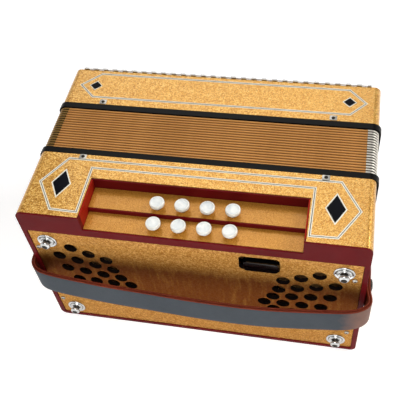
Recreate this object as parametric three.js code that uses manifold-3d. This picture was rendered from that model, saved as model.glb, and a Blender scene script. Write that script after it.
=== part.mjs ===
// Two-row diatonic button accordion with eight bass buttons, lying on its back. Millimetres.
// X runs along the casings, Y from the bass end to the treble end, Z up and out of the front.

import * as THREE from 'three';
import { mergeVertices } from 'three/addons/utils/BufferGeometryUtils.js';
import Module from 'manifold-3d';

const wasm = await Module();
wasm.setup();

// Clearances and cutting allowances
const fitGap = 0.3;
const overrun = 2;
const seatOverlap = 1;

// Both casings: wooden boxes of one outline, covered in sheet
const caseLength = 300;
const caseHeight = 173;
const caseEdgeRadius = 6;
const caseEdgeSegments = 4;
const caseWall = 8;
const caseInnerRadius = 3;

// Lengths of the parts along Y, from the bass end face
const bassCaseDepth = 71.5;
const bellowsFrameDepth = 6.5;
const foldedBellowsDepth = 51.5;
const trebleCaseDepth = 47;

// Bass end: a facing round the edge, and a removable panel inside it
const facingThickness = 1.5;
const facingSideWidth = 4.5;
const facingBackWidth = 4;
const frontBlockHeight = 24.8;
const panelThickness = 4;
const panelInset = 0.8;
const panelCornerRadius = 2;

// Stepped button recess in the front of the bass casing
const recessHalfLength = 94;
const recessShift = 2;
const recessSetback = 27.5;
const lowerStepDrop = 15.8;
const upperStepDrop = 11;
const lowerStepShare = 0.4886;
const stepBoardThickness = 4;
const stepRiserThickness = 3.5;
const liningThickness = 1.2;
const liningTopDrop = 0.4;
const frontRailDepth = 4.5;

// Sound holes: two mirrored fans of rows, spread about one centre line
const fanCentreDrop = 77.6;
const soundHoleShare = 0.04;
const fanCentreShare = 0.0507;
const fanRadiusShare = 0.471;
const fanPitchShare = 0.1127;
const fanStaggerShare = 0.0594;
const fanStepDegrees = 7.8;
const fanRows = [
  { step: -1.8, first: 0, last: 3 },
  { step: -0.8, first: 0, last: 3 },
  { step: 0.2, first: 0, last: 3 },
  { step: 1.2, first: 0, last: 3 },
  { step: 2.2, first: 1, last: 4 },
  { step: 3.2, first: 1, last: 3 },
];

// Feet on the bass end: a turned rosette with a domed knob
const footSetback = 19.7;
const footFrontDrop = 14.3;
const footBackZ = 17.1;
const footRadius = 9;
const footRimHeight = 1.2;
const footDishRadius = 6.2;
const footDishHeight = 2.4;
const footNeckRadius = 3.6;
const footNeckHeight = 3.4;
const footKnobRadius = 4.6;
const footKnobHeight = 5.6;
const footTipRadius = 2.4;
const footHeight = 7.6;

// Bass buttons and the upright rods under them
const bassButtonPitch = 21.8;
const bassRowLowerShare = 0.233;
const bassRowUpperShare = 0.6466;
const bassButtonRadius = 6.5;
const bassButtonThickness = 3.7;
const bassButtonDish = 0.5;
const bassButtonEdge = 0.7;
const bassButtonTravel = 2.2;
const bassButtonRestGap = 2.4;
const bassRodRadius = 1.6;
const bassRodHoleRadius = 3;

// Bass pallet board, its reed block, and the cranked levers that open the pallets
const bassBoardSetback = 19.5;
const boardThickness = 6;
const bassAxleSetback = 6;
const bassAxleDrop = 107;
const axleRadius = 1.5;
const bassAxleHalfLength = 51;
const hubRadius = 4;
const hubHalfWidth = 2.4;
const leverHalfThickness = 1.25;
const leverHalfDepth = 2;
const leverArmDepth = 4.7;
const bassLeverOffset = 5;
const bassPadHalfDepth = 3.2;
const palletThickness = 3.7;
const bassPalletHalfWidth = 7;
const bassPalletHalfHeight = 11;
const bassPalletNearRise = 18;
const bassPalletFarRise = 48;
const palletSeatLap = 2.5;
const axlePostThickness = 4;
const axlePostHalfHeight = 6;
const bassReedHalfLength = 52;
const bassReedBottomRise = 2;
const bassReedTopRise = 64;
const bassReedDepth = 34;
const reedChamberFloor = 4;

// Air key in its slot, and the air pallet it opens
const airSlotLeftX = 42.2;
const airSlotRightX = 77.2;
const airSlotDrop = 5.4;
const airSlotHeight = 19.6;
const airSlotRadius = 4;
const airKeyLeftGap = 4.2;
const airKeyRightGap = 0.9;
const airKeyBackGap = 3.2;
const airKeyHeight = 12.8;
const airKeyProud = 2.4;
const airKeyDepth = 10.4;
const airKeyRadius = 3.5;
const airLeverX = 60.2;
const airLeverHalfThickness = 3;
const airAxleShare = 0.4615;
const airAxleRise = 18;
const airHubHalfWidth = 5;
const airTrunnionReach = 5;
const airPalletHalfWidth = 10;
const airPalletHalfHeight = 14;
const airPalletZ = 30;

// Hand strap round the bass end, and its two studs
const strapWidth = 30;
const strapRise = 1.5;
const strapThickness = 3.8;
const strapBulge = 23.7;
const strapStandoff = 5.2;
const strapTailY = 33;
const strapSteps = 30;
const studY = 20;
const studShankRadius = 3;
const studHeadRadius = 6.5;
const studHeadHeight = 2.6;
const studTopRadius = 3.4;
const strapPathShares = [
  [-0.981, 0.17], [-0.974, -0.169], [-0.95, -0.388], [-0.905, -0.549], [-0.585, -0.789],
  [-0.276, -0.903], [0.071, -1], [0.405, -1], [0.731, -0.84], [0.907, -0.675],
  [0.97, -0.46], [0.995, -0.203], [0.987, 0.19],
];

// Bellows: wooden end frames and the folded tube between them
const frameWall = 16;
const frameProud = 2.2;
const frameEdgeRadius = 8;
const frameTongue = 9;
const foldCount = 17;
const foldInset = 0.4;
const foldSetback = 1.9;
const foldDepth = 12;
const foldSheet = 1.2;
const foldEdgeShare = 0.6;
const foldCornerRadius = 7;
const foldValleyRadius = 3;

// Treble pallet board, axle, and the two rows of keys
const trebleBoardSetback = 33;
const trebleAxleSetback = 18;
const trebleAxleDrop = 12;
const trebleKeyPitch = 18;
const trebleInnerKeys = 10;
const trebleOuterKeys = 11;
const trebleInnerReach = 21;
const trebleOuterReach = 41;
const trebleButtonRadius = 6.5;
const trebleButtonThickness = 5;
const trebleButtonEdge = 0.8;
const trebleButtonTravel = 3.5;
const trebleButtonRestGap = 0.8;
const trebleStemRadius = 2;
const trebleStemHoleRadius = 4.2;
const treblePalletHalfWidth = 6.5;
const treblePalletHalfHeight = 10;
const treblePalletNearRise = 34;
const treblePalletFarRise = 60;
const trebleAxleHalfLength = 104;
const treblePostX = 98;
const trebleMiddlePostThickness = 2.4;
const trebleReedHalfLength = 100;
const trebleReedBottomRise = 22;
const trebleReedTopRise = 72;
const trebleReedDepth = 40;
const reedChamberHalfWidth = 3.6;

// Treble end wall and its window
const endWallThickness = 6;
const windowSideSetback = 33;
const windowBackRise = 5;
const windowFrontDrop = 13;

// Fingerboard: a hollow board that stands out of the treble end
const boardSideSetback = 26;
const boardReach = 62;
const boardTopDrop = 81;
const boardPlate = 4;
const boardCheek = 5;
const boardRootHeight = 33;
const boardTipHeight = 26;
const boardTipRadius = 6;

// Pierced metal grille over the pallets
const grilleSideSetback = 9;
const grilleBackRise = 1.5;
const grilleFrontRise = 1.2;
const grilleSheet = 1;
const grilleCrownRadius = 5;
const grilleBulge = 9;
const grilleShoulderDrop = 21;
const grilleFootRise = 10.5;
const grilleColumns = 28;
const grilleSlotHalfWidth = 2.6;
const grilleSlotPoint = 3;
const grilleEdgeMargin = 2.5;
const grilleEdgeSlotDrop = 10;
const grilleRowShares = [[0.18, 0.47], [0.52, 0.81]];

// Places along Y that follow from the lengths above
const bassFrameY = bassCaseDepth;
const foldsY = bassFrameY + bellowsFrameDepth;
const trebleFrameY = foldsY + foldedBellowsDepth;
const trebleCaseY = trebleFrameY + bellowsFrameDepth;
const trebleEndY = trebleCaseY + trebleCaseDepth;
const trebleBoardY = trebleEndY - trebleBoardSetback;
const trebleAxleY = trebleEndY - trebleAxleSetback;
const bassBoardY = bassCaseDepth - bassBoardSetback;
const bassAxleY = bassBoardY - bassAxleSetback;
const airAxleY = bassBoardY * airAxleShare;

// Depths of the recess and places of the button rows in it
const recessDepth = bassCaseDepth - recessSetback;
const lowerStepDepth = recessDepth * lowerStepShare;
const bassRowLowerY = recessDepth * bassRowLowerShare;
const bassRowUpperY = recessDepth * bassRowUpperShare;

// Lengths and heights that follow from the casing
const halfLength = caseLength / 2;
const panelFrontZ = caseHeight - frontBlockHeight;
const lowerStepZ = caseHeight - lowerStepDrop;
const upperStepZ = caseHeight - upperStepDrop;
const fanCentreZ = panelFrontZ - fanCentreDrop;
const footFrontZ = panelFrontZ - footFrontDrop;
const footX = halfLength - footSetback;

// Fans of sound holes, in proportion to the casing's length
const soundHoleRadius = halfLength * soundHoleShare;
const fanCentreOffset = halfLength * fanCentreShare;
const fanRadius = halfLength * fanRadiusShare;
const fanPitch = halfLength * fanPitchShare;
const fanStagger = halfLength * fanStaggerShare;

// Bass mechanism
const bassAxleZ = caseHeight - bassAxleDrop;
const bassPalletNearZ = bassAxleZ + bassPalletNearRise;
const bassPalletFarZ = bassAxleZ + bassPalletFarRise;
const airAxleZ = bassAxleZ + airAxleRise;
const airSlotFrontZ = panelFrontZ - airSlotDrop;
const airSlotBackZ = airSlotFrontZ - airSlotHeight;
const airKeyBackZ = airSlotBackZ + airKeyBackGap;
const airKeyFrontZ = airKeyBackZ + airKeyHeight;

// Bellows
const frameHalfLength = halfLength + frameProud;
const foldHalfLength = frameHalfLength - foldSetback;

// Strap
const strapReach = halfLength + strapStandoff;
const strapMiddleZ = caseHeight / 2 + strapRise;

// Treble mechanism, fingerboard and grille
const boardTopZ = caseHeight - boardTopDrop;
const boardBackZ = boardTopZ - boardRootHeight;
const boardTipBackZ = boardTopZ - boardTipHeight;
const boardHalfLength = halfLength - boardSideSetback;
const windowHalfLength = halfLength - windowSideSetback;
const grilleHalfLength = halfLength - grilleSideSetback;
const trebleAxleZ = boardTopZ - trebleAxleDrop;
const treblePalletNearZ = trebleAxleZ + treblePalletNearRise;
const treblePalletFarZ = trebleAxleZ + treblePalletFarRise;
const grilleBackZ = boardTopZ + grilleBackRise;
const grilleFootZ = grilleBackZ + grilleFootRise;
const grilleShoulderZ = caseHeight - grilleShoulderDrop;

// Modelling helpers

// Turns a closed three.js geometry into a solid that can be joined and cut.
function solid(geometry) {
  const bare = new THREE.BufferGeometry();
  bare.setAttribute('position', geometry.getAttribute('position'));
  bare.setIndex(geometry.getIndex());
  const merged = mergeVertices(bare);
  const index = Array.from(merged.getIndex().array);
  const faces = [];
  for (let i = 0; i < index.length; i += 3) {
    const [a, b, c] = index.slice(i, i + 3);
    if (a !== b && b !== c && c !== a) faces.push(a, b, c);
  }
  return new wasm.Manifold(new wasm.Mesh({
    numProp: 3,
    vertProperties: new Float32Array(merged.getAttribute('position').array),
    triVerts: new Uint32Array(faces),
  }));
}

// Turns a solid back into a three.js geometry.
function surface(body) {
  const mesh = body.getMesh();
  const geometry = new THREE.BufferGeometry();
  geometry.setAttribute('position', new THREE.BufferAttribute(mesh.vertProperties, mesh.numProp));
  geometry.setIndex(new THREE.BufferAttribute(mesh.triVerts, 1));
  geometry.computeVertexNormals();
  return geometry;
}

// A block between two values on each axis.
function block([x0, x1], [y0, y1], [z0, z1]) {
  const geometry = new THREE.BoxGeometry(x1 - x0, y1 - y0, z1 - z0);
  geometry.translate((x0 + x1) / 2, (y0 + y1) / 2, (z0 + z1) / 2);
  return solid(geometry);
}

// A round bar along X, Y or Z; the other two coordinates are given in X, Y, Z order.
function bar(axis, radius, [from, to], [u, v], sides) {
  const geometry = new THREE.CylinderGeometry(radius, radius, to - from, sides);
  const middle = (from + to) / 2;
  if (axis === 'x') geometry.rotateZ(Math.PI / 2).translate(middle, u, v);
  if (axis === 'y') geometry.translate(u, middle, v);
  if (axis === 'z') geometry.rotateX(Math.PI / 2).translate(u, v, middle);
  return solid(geometry);
}

// Extrudes a shape drawn in X and Z along Y.
function alongY(shape, [y0, y1], curveSegments = 2) {
  const geometry = new THREE.ExtrudeGeometry(shape, { depth: y1 - y0, bevelEnabled: false, curveSegments });
  geometry.rotateX(Math.PI / 2).translate(0, y1, 0);
  return solid(geometry);
}

// Extrudes a shape drawn in Y and Z along X.
function alongX(shape, [x0, x1], curveSegments = 2) {
  const geometry = new THREE.ExtrudeGeometry(shape, { depth: x1 - x0, bevelEnabled: false, curveSegments });
  const turn = new THREE.Matrix4().makeBasis(
    new THREE.Vector3(0, 1, 0),
    new THREE.Vector3(0, 0, 1),
    new THREE.Vector3(1, 0, 0),
  );
  geometry.applyMatrix4(turn).translate(x0, 0, 0);
  return solid(geometry);
}

// Extrudes a shape drawn in X and Y along Z.
function alongZ(shape, [z0, z1]) {
  const geometry = new THREE.ExtrudeGeometry(shape, { depth: z1 - z0, bevelEnabled: false });
  geometry.translate(0, 0, z0);
  return solid(geometry);
}

// A piece turned about the Z axis from its half profile of [radius, height] points.
function turned(profile, sides) {
  const points = profile.map(([radius, height]) => new THREE.Vector2(radius, height));
  return new THREE.LatheGeometry(points, sides).rotateX(Math.PI / 2);
}

// A rectangle with rounded corners.
function roundedRectangle([u0, u1], [v0, v1], radius) {
  const shape = new THREE.Shape();
  shape.absarc(u1 - radius, v0 + radius, radius, -Math.PI / 2, 0);
  shape.absarc(u1 - radius, v1 - radius, radius, 0, Math.PI / 2);
  shape.absarc(u0 + radius, v1 - radius, radius, Math.PI / 2, Math.PI);
  shape.absarc(u0 + radius, v0 + radius, radius, Math.PI, Math.PI * 3 / 2);
  return shape;
}

// The outline of the casings, drawn in by an inset.
function caseOutline(inset, radius) {
  return roundedRectangle([inset - halfLength, halfLength - inset], [inset, caseHeight - inset], radius);
}

// A rectangular tube of the casing's outline along Y.
function caseTube(span, outerInset, outerRadius, innerInset, innerRadius, curveSegments) {
  const shape = caseOutline(outerInset, outerRadius);
  shape.holes.push(caseOutline(innerInset, innerRadius));
  return alongY(shape, span, curveSegments);
}

// A polygon from a list of points.
function polygon(points) {
  return new THREE.Shape(points.map(([u, v]) => new THREE.Vector2(u, v)));
}

// Bass side

// Opening in the bass end for the panel, inside the facing.
const panelOpening = {
  x: [facingSideWidth - halfLength, halfLength - facingSideWidth],
  z: [facingBackWidth, panelFrontZ],
};

// The recess along X, as wide as a half length says, about its own middle.
function recessSpan(half) {
  return [recessShift - half, recessShift + half];
}

// Wooden box with the button recess cut out of its front and a rebate for the end panel.
function bassCasing() {
  const recessWall = recessHalfLength + liningThickness + fitGap;
  const recessBack = recessDepth + liningThickness + fitGap;
  const recess = block(
    recessSpan(recessWall),
    [facingThickness - overrun, recessBack],
    [panelFrontZ, caseHeight + overrun],
  );
  const rebate = block(panelOpening.x, [facingThickness - overrun, panelInset + panelThickness], panelOpening.z);
  return caseTube([facingThickness, bassCaseDepth], 0, caseEdgeRadius, caseWall, caseInnerRadius, caseEdgeSegments)
    .subtract(recess)
    .subtract(rebate);
}

// Dark facing round the bass end, with the front rail and the sheet that lines the recess.
function bassEndFrame() {
  const facing = alongY(caseOutline(0, caseEdgeRadius), [0, facingThickness], caseEdgeSegments)
    .subtract(block(panelOpening.x, [-overrun, facingThickness + overrun], panelOpening.z))
    .subtract(block(
      recessSpan(recessHalfLength),
      [-overrun, facingThickness + overrun],
      [lowerStepZ, caseHeight + overrun],
    ));
  const liningSpan = recessSpan(recessHalfLength + liningThickness);
  const liningBack = recessDepth + liningThickness;
  const liningTop = caseHeight - liningTopDrop;
  const lining = block(liningSpan, [0, liningBack], [panelFrontZ, liningTop]).subtract(block(
    recessSpan(recessHalfLength),
    [-overrun, recessDepth],
    [panelFrontZ - overrun, caseHeight],
  ));
  const riser = block(
    liningSpan,
    [lowerStepDepth - liningThickness, lowerStepDepth],
    [lowerStepZ + fitGap, upperStepZ],
  );
  const rail = block(
    liningSpan,
    [0, facingThickness + frontRailDepth],
    [panelFrontZ, lowerStepZ - stepBoardThickness - fitGap],
  );
  const underStep = block(
    liningSpan,
    [0, facingThickness],
    [panelFrontZ, lowerStepZ],
  );
  return facing.add(lining).add(riser).add(rail).add(underStep);
}

// Centres of the sound holes, one fan on each side.
function soundHoles() {
  const centres = [];
  for (const side of [-1, 1]) {
    fanRows.forEach(({ step, first, last }, row) => {
      const angle = THREE.MathUtils.degToRad(step * fanStepDegrees);
      const start = fanRadius + (row % 2 ? fanStagger : 0);
      for (let place = first; place <= last; place++) {
        const radius = start + place * fanPitch;
        const x = side * (radius * Math.cos(angle) - fanCentreOffset);
        centres.push([x, fanCentreZ + radius * Math.sin(angle)]);
      }
    });
  }
  return centres;
}

// Removable end panel with the two fans of sound holes and the slot of the air key.
function bassEndPanel() {
  const shape = roundedRectangle(
    panelOpening.x.map((x) => x - Math.sign(x) * fitGap),
    [panelOpening.z[0] + fitGap, panelOpening.z[1] - fitGap],
    panelCornerRadius,
  );
  for (const [x, z] of soundHoles()) {
    shape.holes.push(new THREE.Path().absarc(x, z, soundHoleRadius, 0, Math.PI * 2));
  }
  const slot = [[airSlotLeftX, airSlotRightX], [airSlotBackZ, airSlotFrontZ], airSlotRadius];
  shape.holes.push(roundedRectangle(...slot));
  return alongY(shape, [panelInset, panelInset + panelThickness], 5);
}

// Places of the bass buttons, from left to right.
const bassButtonX = [-1.5, -0.5, 0.5, 1.5].map((step) => step * bassButtonPitch + recessShift);

// Stepped board under the bass buttons, with a hole for each rod.
function bassStepBoard() {
  const profile = polygon([
    [facingThickness + fitGap, lowerStepZ - stepBoardThickness],
    [lowerStepDepth + fitGap + stepRiserThickness, lowerStepZ - stepBoardThickness],
    [lowerStepDepth + fitGap + stepRiserThickness, upperStepZ - stepBoardThickness],
    [recessDepth - fitGap, upperStepZ - stepBoardThickness],
    [recessDepth - fitGap, upperStepZ],
    [lowerStepDepth + fitGap, upperStepZ],
    [lowerStepDepth + fitGap, lowerStepZ],
    [facingThickness + fitGap, lowerStepZ],
  ]);
  let board = alongX(profile, recessSpan(recessHalfLength - fitGap));
  for (const x of bassButtonX) {
    for (const y of [bassRowLowerY, bassRowUpperY]) {
      const span = [lowerStepZ - stepBoardThickness - overrun, upperStepZ + overrun];
      board = board.subtract(bar('z', bassRodHoleRadius, span, [x, y], 8));
    }
  }
  return board;
}

// A round button with a slightly dished top, on the rod that pushes its lever.
function bassButton(x, y, stepZ) {
  const headZ = stepZ + bassButtonTravel + bassButtonRestGap;
  const inner = bassButtonRadius - bassButtonEdge;
  const head = solid(turned([
    [0, 0],
    [inner, 0],
    [bassButtonRadius, bassButtonEdge],
    [bassButtonRadius, bassButtonThickness - bassButtonEdge],
    [inner, bassButtonThickness],
    [0, bassButtonThickness - bassButtonDish],
  ], 12)).translate([x, y, headZ]);
  const foot = bassAxleZ + leverHalfDepth + fitGap;
  return head.add(bar('z', bassRodRadius, [foot, headZ + seatOverlap], [x, y], 8));
}

// Cranked lever: a pad under the rod, a hub on the axle and a pallet on the board.
function bassLever(x, y, side, palletZ) {
  const leverX = x + side * bassLeverOffset;
  const palletFrontY = bassBoardY - fitGap;
  const palletBackY = palletFrontY - palletThickness;
  const thickness = [leverX - leverHalfThickness, leverX + leverHalfThickness];
  const crank = polygon([
    [y - bassPadHalfDepth, bassAxleZ - leverHalfDepth],
    [palletBackY, bassAxleZ - leverHalfDepth],
    [palletBackY + seatOverlap, bassAxleZ + hubRadius],
    [palletBackY + seatOverlap, palletZ],
    [palletBackY - leverArmDepth / 2, palletZ],
    [palletBackY - leverArmDepth, bassAxleZ + leverHalfDepth],
    [y - bassPadHalfDepth, bassAxleZ + leverHalfDepth],
  ]);
  const padEnds = [x - side * bassRodRadius, leverX].sort((a, b) => a - b);
  const pad = block(
    padEnds,
    [y - bassPadHalfDepth, y + bassPadHalfDepth],
    [bassAxleZ - leverHalfDepth, bassAxleZ + leverHalfDepth],
  );
  const pallet = block(
    [leverX - bassPalletHalfWidth, leverX + bassPalletHalfWidth],
    [palletBackY, palletFrontY],
    [palletZ - bassPalletHalfHeight, palletZ + bassPalletHalfHeight],
  );
  const hubEnds = [leverX - hubHalfWidth, leverX + hubHalfWidth];
  const boreEnds = [hubEnds[0] - overrun, hubEnds[1] + overrun];
  const centre = [bassAxleY, bassAxleZ];
  return alongX(crank, thickness)
    .add(pad)
    .add(pallet)
    .add(bar('x', hubRadius, hubEnds, centre, 8))
    .subtract(bar('x', axleRadius + fitGap, boreEnds, centre, 8));
}

// Outline of a pallet board, just inside the casing.
function palletBoard(y) {
  const inset = caseWall + fitGap;
  return alongY(caseOutline(inset, caseInnerRadius), [y, y + boardThickness]);
}

// The hole that a pallet of this size covers.
function palletHole(x, z, halfWidth, halfHeight, span) {
  return block(
    [x - halfWidth + palletSeatLap, x + halfWidth - palletSeatLap],
    span,
    [z - halfHeight + palletSeatLap, z + halfHeight - palletSeatLap],
  );
}

// A post from a pallet board to an axle, with its bore.
function axlePost(xEnds, boardFace, [axleY, axleZ]) {
  const reach = Math.sign(axleY - boardFace) * (hubRadius + fitGap);
  const ends = [boardFace - Math.sign(reach) * seatOverlap, axleY + reach].sort((a, b) => a - b);
  const post = block(xEnds, ends, [axleZ - axlePostHalfHeight, axleZ + axlePostHalfHeight]);
  const boreEnds = [xEnds[0] - overrun, xEnds[1] + overrun];
  return post.subtract(bar('x', axleRadius + fitGap, boreEnds, [axleY, axleZ], 8));
}

// Bass pallet board with the posts of both axles and the reed block on its other side.
function bassPalletBoard() {
  const through = [bassBoardY - overrun, bassBoardY + boardThickness + bassReedDepth - reedChamberFloor];
  const reedSpan = [bassBoardY + boardThickness - seatOverlap, bassBoardY + boardThickness + bassReedDepth];
  const reedEnds = [bassAxleZ + bassReedBottomRise, bassAxleZ + bassReedTopRise];
  let board = palletBoard(bassBoardY)
    .add(block([-bassReedHalfLength, bassReedHalfLength], reedSpan, reedEnds));
  for (const x of bassButtonX) {
    for (const [side, z] of [[-1, bassPalletNearZ], [1, bassPalletFarZ]]) {
      const holeX = x + side * bassLeverOffset;
      board = board.subtract(palletHole(holeX, z, bassPalletHalfWidth, bassPalletHalfHeight, through));
    }
  }
  const airSpan = [bassBoardY - overrun, bassBoardY + boardThickness + overrun];
  board = board.subtract(palletHole(airLeverX, airPalletZ, airPalletHalfWidth, airPalletHalfHeight, airSpan));
  for (const side of [-1, 1]) {
    const post = [bassAxleHalfLength - axlePostThickness, bassAxleHalfLength];
    const ends = post.map((x) => side * x).sort((a, b) => a - b);
    board = board.add(axlePost(ends, bassBoardY, [bassAxleY, bassAxleZ]));
    const inner = airHubHalfWidth + fitGap;
    const outer = inner + axlePostThickness;
    const airEnds = [inner, outer].map((x) => airLeverX + side * x).sort((a, b) => a - b);
    board = board.add(axlePost(airEnds, bassBoardY, [airAxleY, airAxleZ]));
  }
  return board;
}

// Black thumb key that shows in the panel's slot, its lever, trunnions and the air pallet.
function airKey() {
  const palletFrontY = bassBoardY - fitGap;
  const palletBackY = palletFrontY - palletThickness;
  const keyBackY = airKeyDepth - airKeyProud;
  const keyEnds = [airSlotLeftX + airKeyLeftGap, airSlotRightX - airKeyRightGap];
  const lever = polygon([
    [airAxleY - hubRadius, airAxleZ - hubRadius],
    [palletBackY - leverArmDepth, airPalletZ - hubRadius],
    [palletBackY + seatOverlap, airPalletZ - hubRadius],
    [palletBackY + seatOverlap, airPalletZ + hubRadius],
    [airAxleY + hubRadius, airAxleZ + hubRadius],
    [keyBackY + hubRadius, airKeyFrontZ - hubRadius],
    [keyBackY - seatOverlap, airKeyFrontZ - hubRadius],
    [keyBackY - seatOverlap, airKeyBackZ],
  ]);
  const key = alongY(
    roundedRectangle(keyEnds, [airKeyBackZ, airKeyFrontZ], airKeyRadius),
    [-airKeyProud, keyBackY],
  );
  const pallet = block(
    [airLeverX - airPalletHalfWidth, airLeverX + airPalletHalfWidth],
    [palletBackY, palletFrontY],
    [airPalletZ - airPalletHalfHeight, airPalletZ + airPalletHalfHeight],
  );
  const trunnion = airHubHalfWidth + airTrunnionReach;
  const centre = [airAxleY, airAxleZ];
  return alongX(lever, [airLeverX - airLeverHalfThickness, airLeverX + airLeverHalfThickness])
    .add(key)
    .add(pallet)
    .add(bar('x', hubRadius, [airLeverX - airHubHalfWidth, airLeverX + airHubHalfWidth], centre, 8))
    .add(bar('x', axleRadius, [airLeverX - trunnion, airLeverX + trunnion], centre, 8));
}

// Chromed foot with a flat tip, turned about Z and laid to point out of the bass end.
function foot() {
  return turned([
    [0, 0],
    [footRadius, 0],
    [footRadius, footRimHeight],
    [footDishRadius, footDishHeight],
    [footNeckRadius, footNeckHeight],
    [footKnobRadius, footKnobHeight],
    [footTipRadius, footHeight],
    [0, footHeight],
  ], 14).rotateX(Math.PI / 2);
}

// The strap's middle line seen from the front, as far as its tails on the side faces.
function strapLine() {
  const tailX = halfLength + fitGap + strapThickness / 2;
  const bow = strapPathShares.map(([across, out]) => {
    return new THREE.Vector3(across * strapReach, out * strapBulge, 0);
  });
  const landing = studY / 2;
  const curve = new THREE.CatmullRomCurve3([
    new THREE.Vector3(-tailX, landing, 0),
    ...bow,
    new THREE.Vector3(tailX, landing, 0),
  ], false, 'centripetal');
  return [
    new THREE.Vector3(-tailX, strapTailY, 0),
    ...curve.getSpacedPoints(strapSteps),
    new THREE.Vector3(tailX, strapTailY, 0),
  ];
}

// Leather hand strap: a band of even thickness along that line, holed for the studs.
function handStrap() {
  const line = strapLine();
  const offset = (side) => line.map((point, i) => {
    const before = line[Math.max(i - 1, 0)];
    const after = line[Math.min(i + 1, line.length - 1)];
    const along = after.clone().sub(before).normalize();
    if (i === 1 || i === line.length - 2) along.set(0, i === 1 ? -1 : 1, 0);
    return [point.x + along.y * side * strapThickness / 2, point.y - along.x * side * strapThickness / 2];
  });
  const edges = [strapMiddleZ - strapWidth / 2, strapMiddleZ + strapWidth / 2];
  let strap = alongZ(polygon([...offset(1), ...offset(-1).reverse()]), edges);
  for (const side of [-1, 1]) {
    const ends = [halfLength - overrun, halfLength + strapThickness + overrun].map((x) => side * x);
    ends.sort((a, b) => a - b);
    strap = strap.subtract(bar('x', studShankRadius + fitGap, ends, [studY, strapMiddleZ], 10));
  }
  return strap;
}

// Stud that holds a strap end to the side of the casing.
function strapStud() {
  const headStart = strapThickness + fitGap * 2;
  return turned([
    [0, 0],
    [studShankRadius, 0],
    [studShankRadius, headStart],
    [studHeadRadius, headStart],
    [studHeadRadius, headStart + studHeadHeight / 3],
    [studTopRadius, headStart + studHeadHeight],
    [0, headStart + studHeadHeight],
  ], 12);
}

// Bellows

// Black wooden frame at one end of the folds, with the tongue that enters its casing.
function bellowsFrame(y, tongueSide) {
  const outline = roundedRectangle([-frameHalfLength, frameHalfLength], [0, caseHeight], frameEdgeRadius);
  outline.holes.push(caseOutline(frameWall, caseInnerRadius));
  const band = alongY(outline, [y, y + bellowsFrameDepth], caseEdgeSegments);
  const middle = y + bellowsFrameDepth / 2;
  const tongueEnd = middle + tongueSide * (bellowsFrameDepth / 2 + frameTongue);
  const span = [middle, tongueEnd].sort((a, b) => a - b);
  return band.add(caseTube(span, caseWall + fitGap, caseInnerRadius, frameWall, caseInnerRadius));
}

// One ring of points round the bellows, drawn in by an inset.
function foldRing(inset, y, radius) {
  const half = foldHalfLength - inset;
  const edge = foldInset + inset;
  const outline = roundedRectangle([-half, half], [edge, caseHeight - edge], radius);
  const points = outline.extractPoints(1).shape;
  return points.slice(0, points.length - 1).map((point) => [point.x, y, point.y]);
}

// Folded tube: sharp valleys outside between flat-edged ridges, and the same folds inside.
function bellowsFolds() {
  const pitch = foldedBellowsDepth / foldCount;
  const edge = pitch * foldEdgeShare / 2;
  const innerRidge = foldDepth + foldSheet;
  const outside = [foldRing(foldDepth, foldsY, foldValleyRadius)];
  const inside = [foldRing(innerRidge, foldsY, foldValleyRadius)];
  for (let fold = 0; fold < foldCount; fold++) {
    const start = foldsY + fold * pitch;
    const ridge = start + pitch / 2;
    outside.push(foldRing(0, ridge - edge, foldCornerRadius));
    outside.push(foldRing(0, ridge + edge, foldCornerRadius));
    inside.push(foldRing(innerRidge, start + edge, foldValleyRadius));
    inside.push(foldRing(foldSheet, ridge, foldCornerRadius));
    inside.push(foldRing(innerRidge, start + pitch - edge, foldValleyRadius));
    outside.push(foldRing(foldDepth, start + pitch, foldValleyRadius));
  }
  inside.push(foldRing(innerRidge, trebleFrameY, foldValleyRadius));
  return ringBody([...outside, ...inside.reverse()]);
}

// Joins a closed series of rings, each of as many points, into one body.
function ringBody(rings) {
  const sides = rings[0].length;
  const faces = [];
  for (let ring = 0; ring < rings.length; ring++) {
    const next = (ring + 1) % rings.length;
    for (let i = 0; i < sides; i++) {
      const j = (i + 1) % sides;
      faces.push(ring * sides + i, ring * sides + j, next * sides + j);
      faces.push(ring * sides + i, next * sides + j, next * sides + i);
    }
  }
  const geometry = new THREE.BufferGeometry();
  geometry.setAttribute('position', new THREE.Float32BufferAttribute(rings.flat(2), 3));
  geometry.setIndex(faces.reverse());
  return geometry;
}

// Treble side

// Casing of the treble side, with an end wall and its window for the levers and pallets.
function trebleCasing() {
  const window = block(
    [-windowHalfLength, windowHalfLength],
    [trebleEndY - endWallThickness - overrun, trebleEndY + overrun],
    [boardBackZ + windowBackRise, caseHeight - windowFrontDrop],
  );
  const wall = alongY(caseOutline(caseWall - seatOverlap, caseInnerRadius), [
    trebleEndY - endWallThickness,
    trebleEndY,
  ]);
  return caseTube([trebleCaseY, trebleEndY], 0, caseEdgeRadius, caseWall, caseInnerRadius, caseEdgeSegments)
    .add(wall)
    .subtract(window);
}

// The keys of one row: places along X.
function rowPlaces(count) {
  return Array.from({ length: count }, (_, i) => (i - (count - 1) / 2) * trebleKeyPitch);
}

// Both rows of treble keys, the outer one last.
const trebleRows = [
  { name: 'inner', places: rowPlaces(trebleInnerKeys), reach: trebleInnerReach, palletZ: treblePalletNearZ },
  { name: 'outer', places: rowPlaces(trebleOuterKeys), reach: trebleOuterReach, palletZ: treblePalletFarZ },
];

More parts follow.
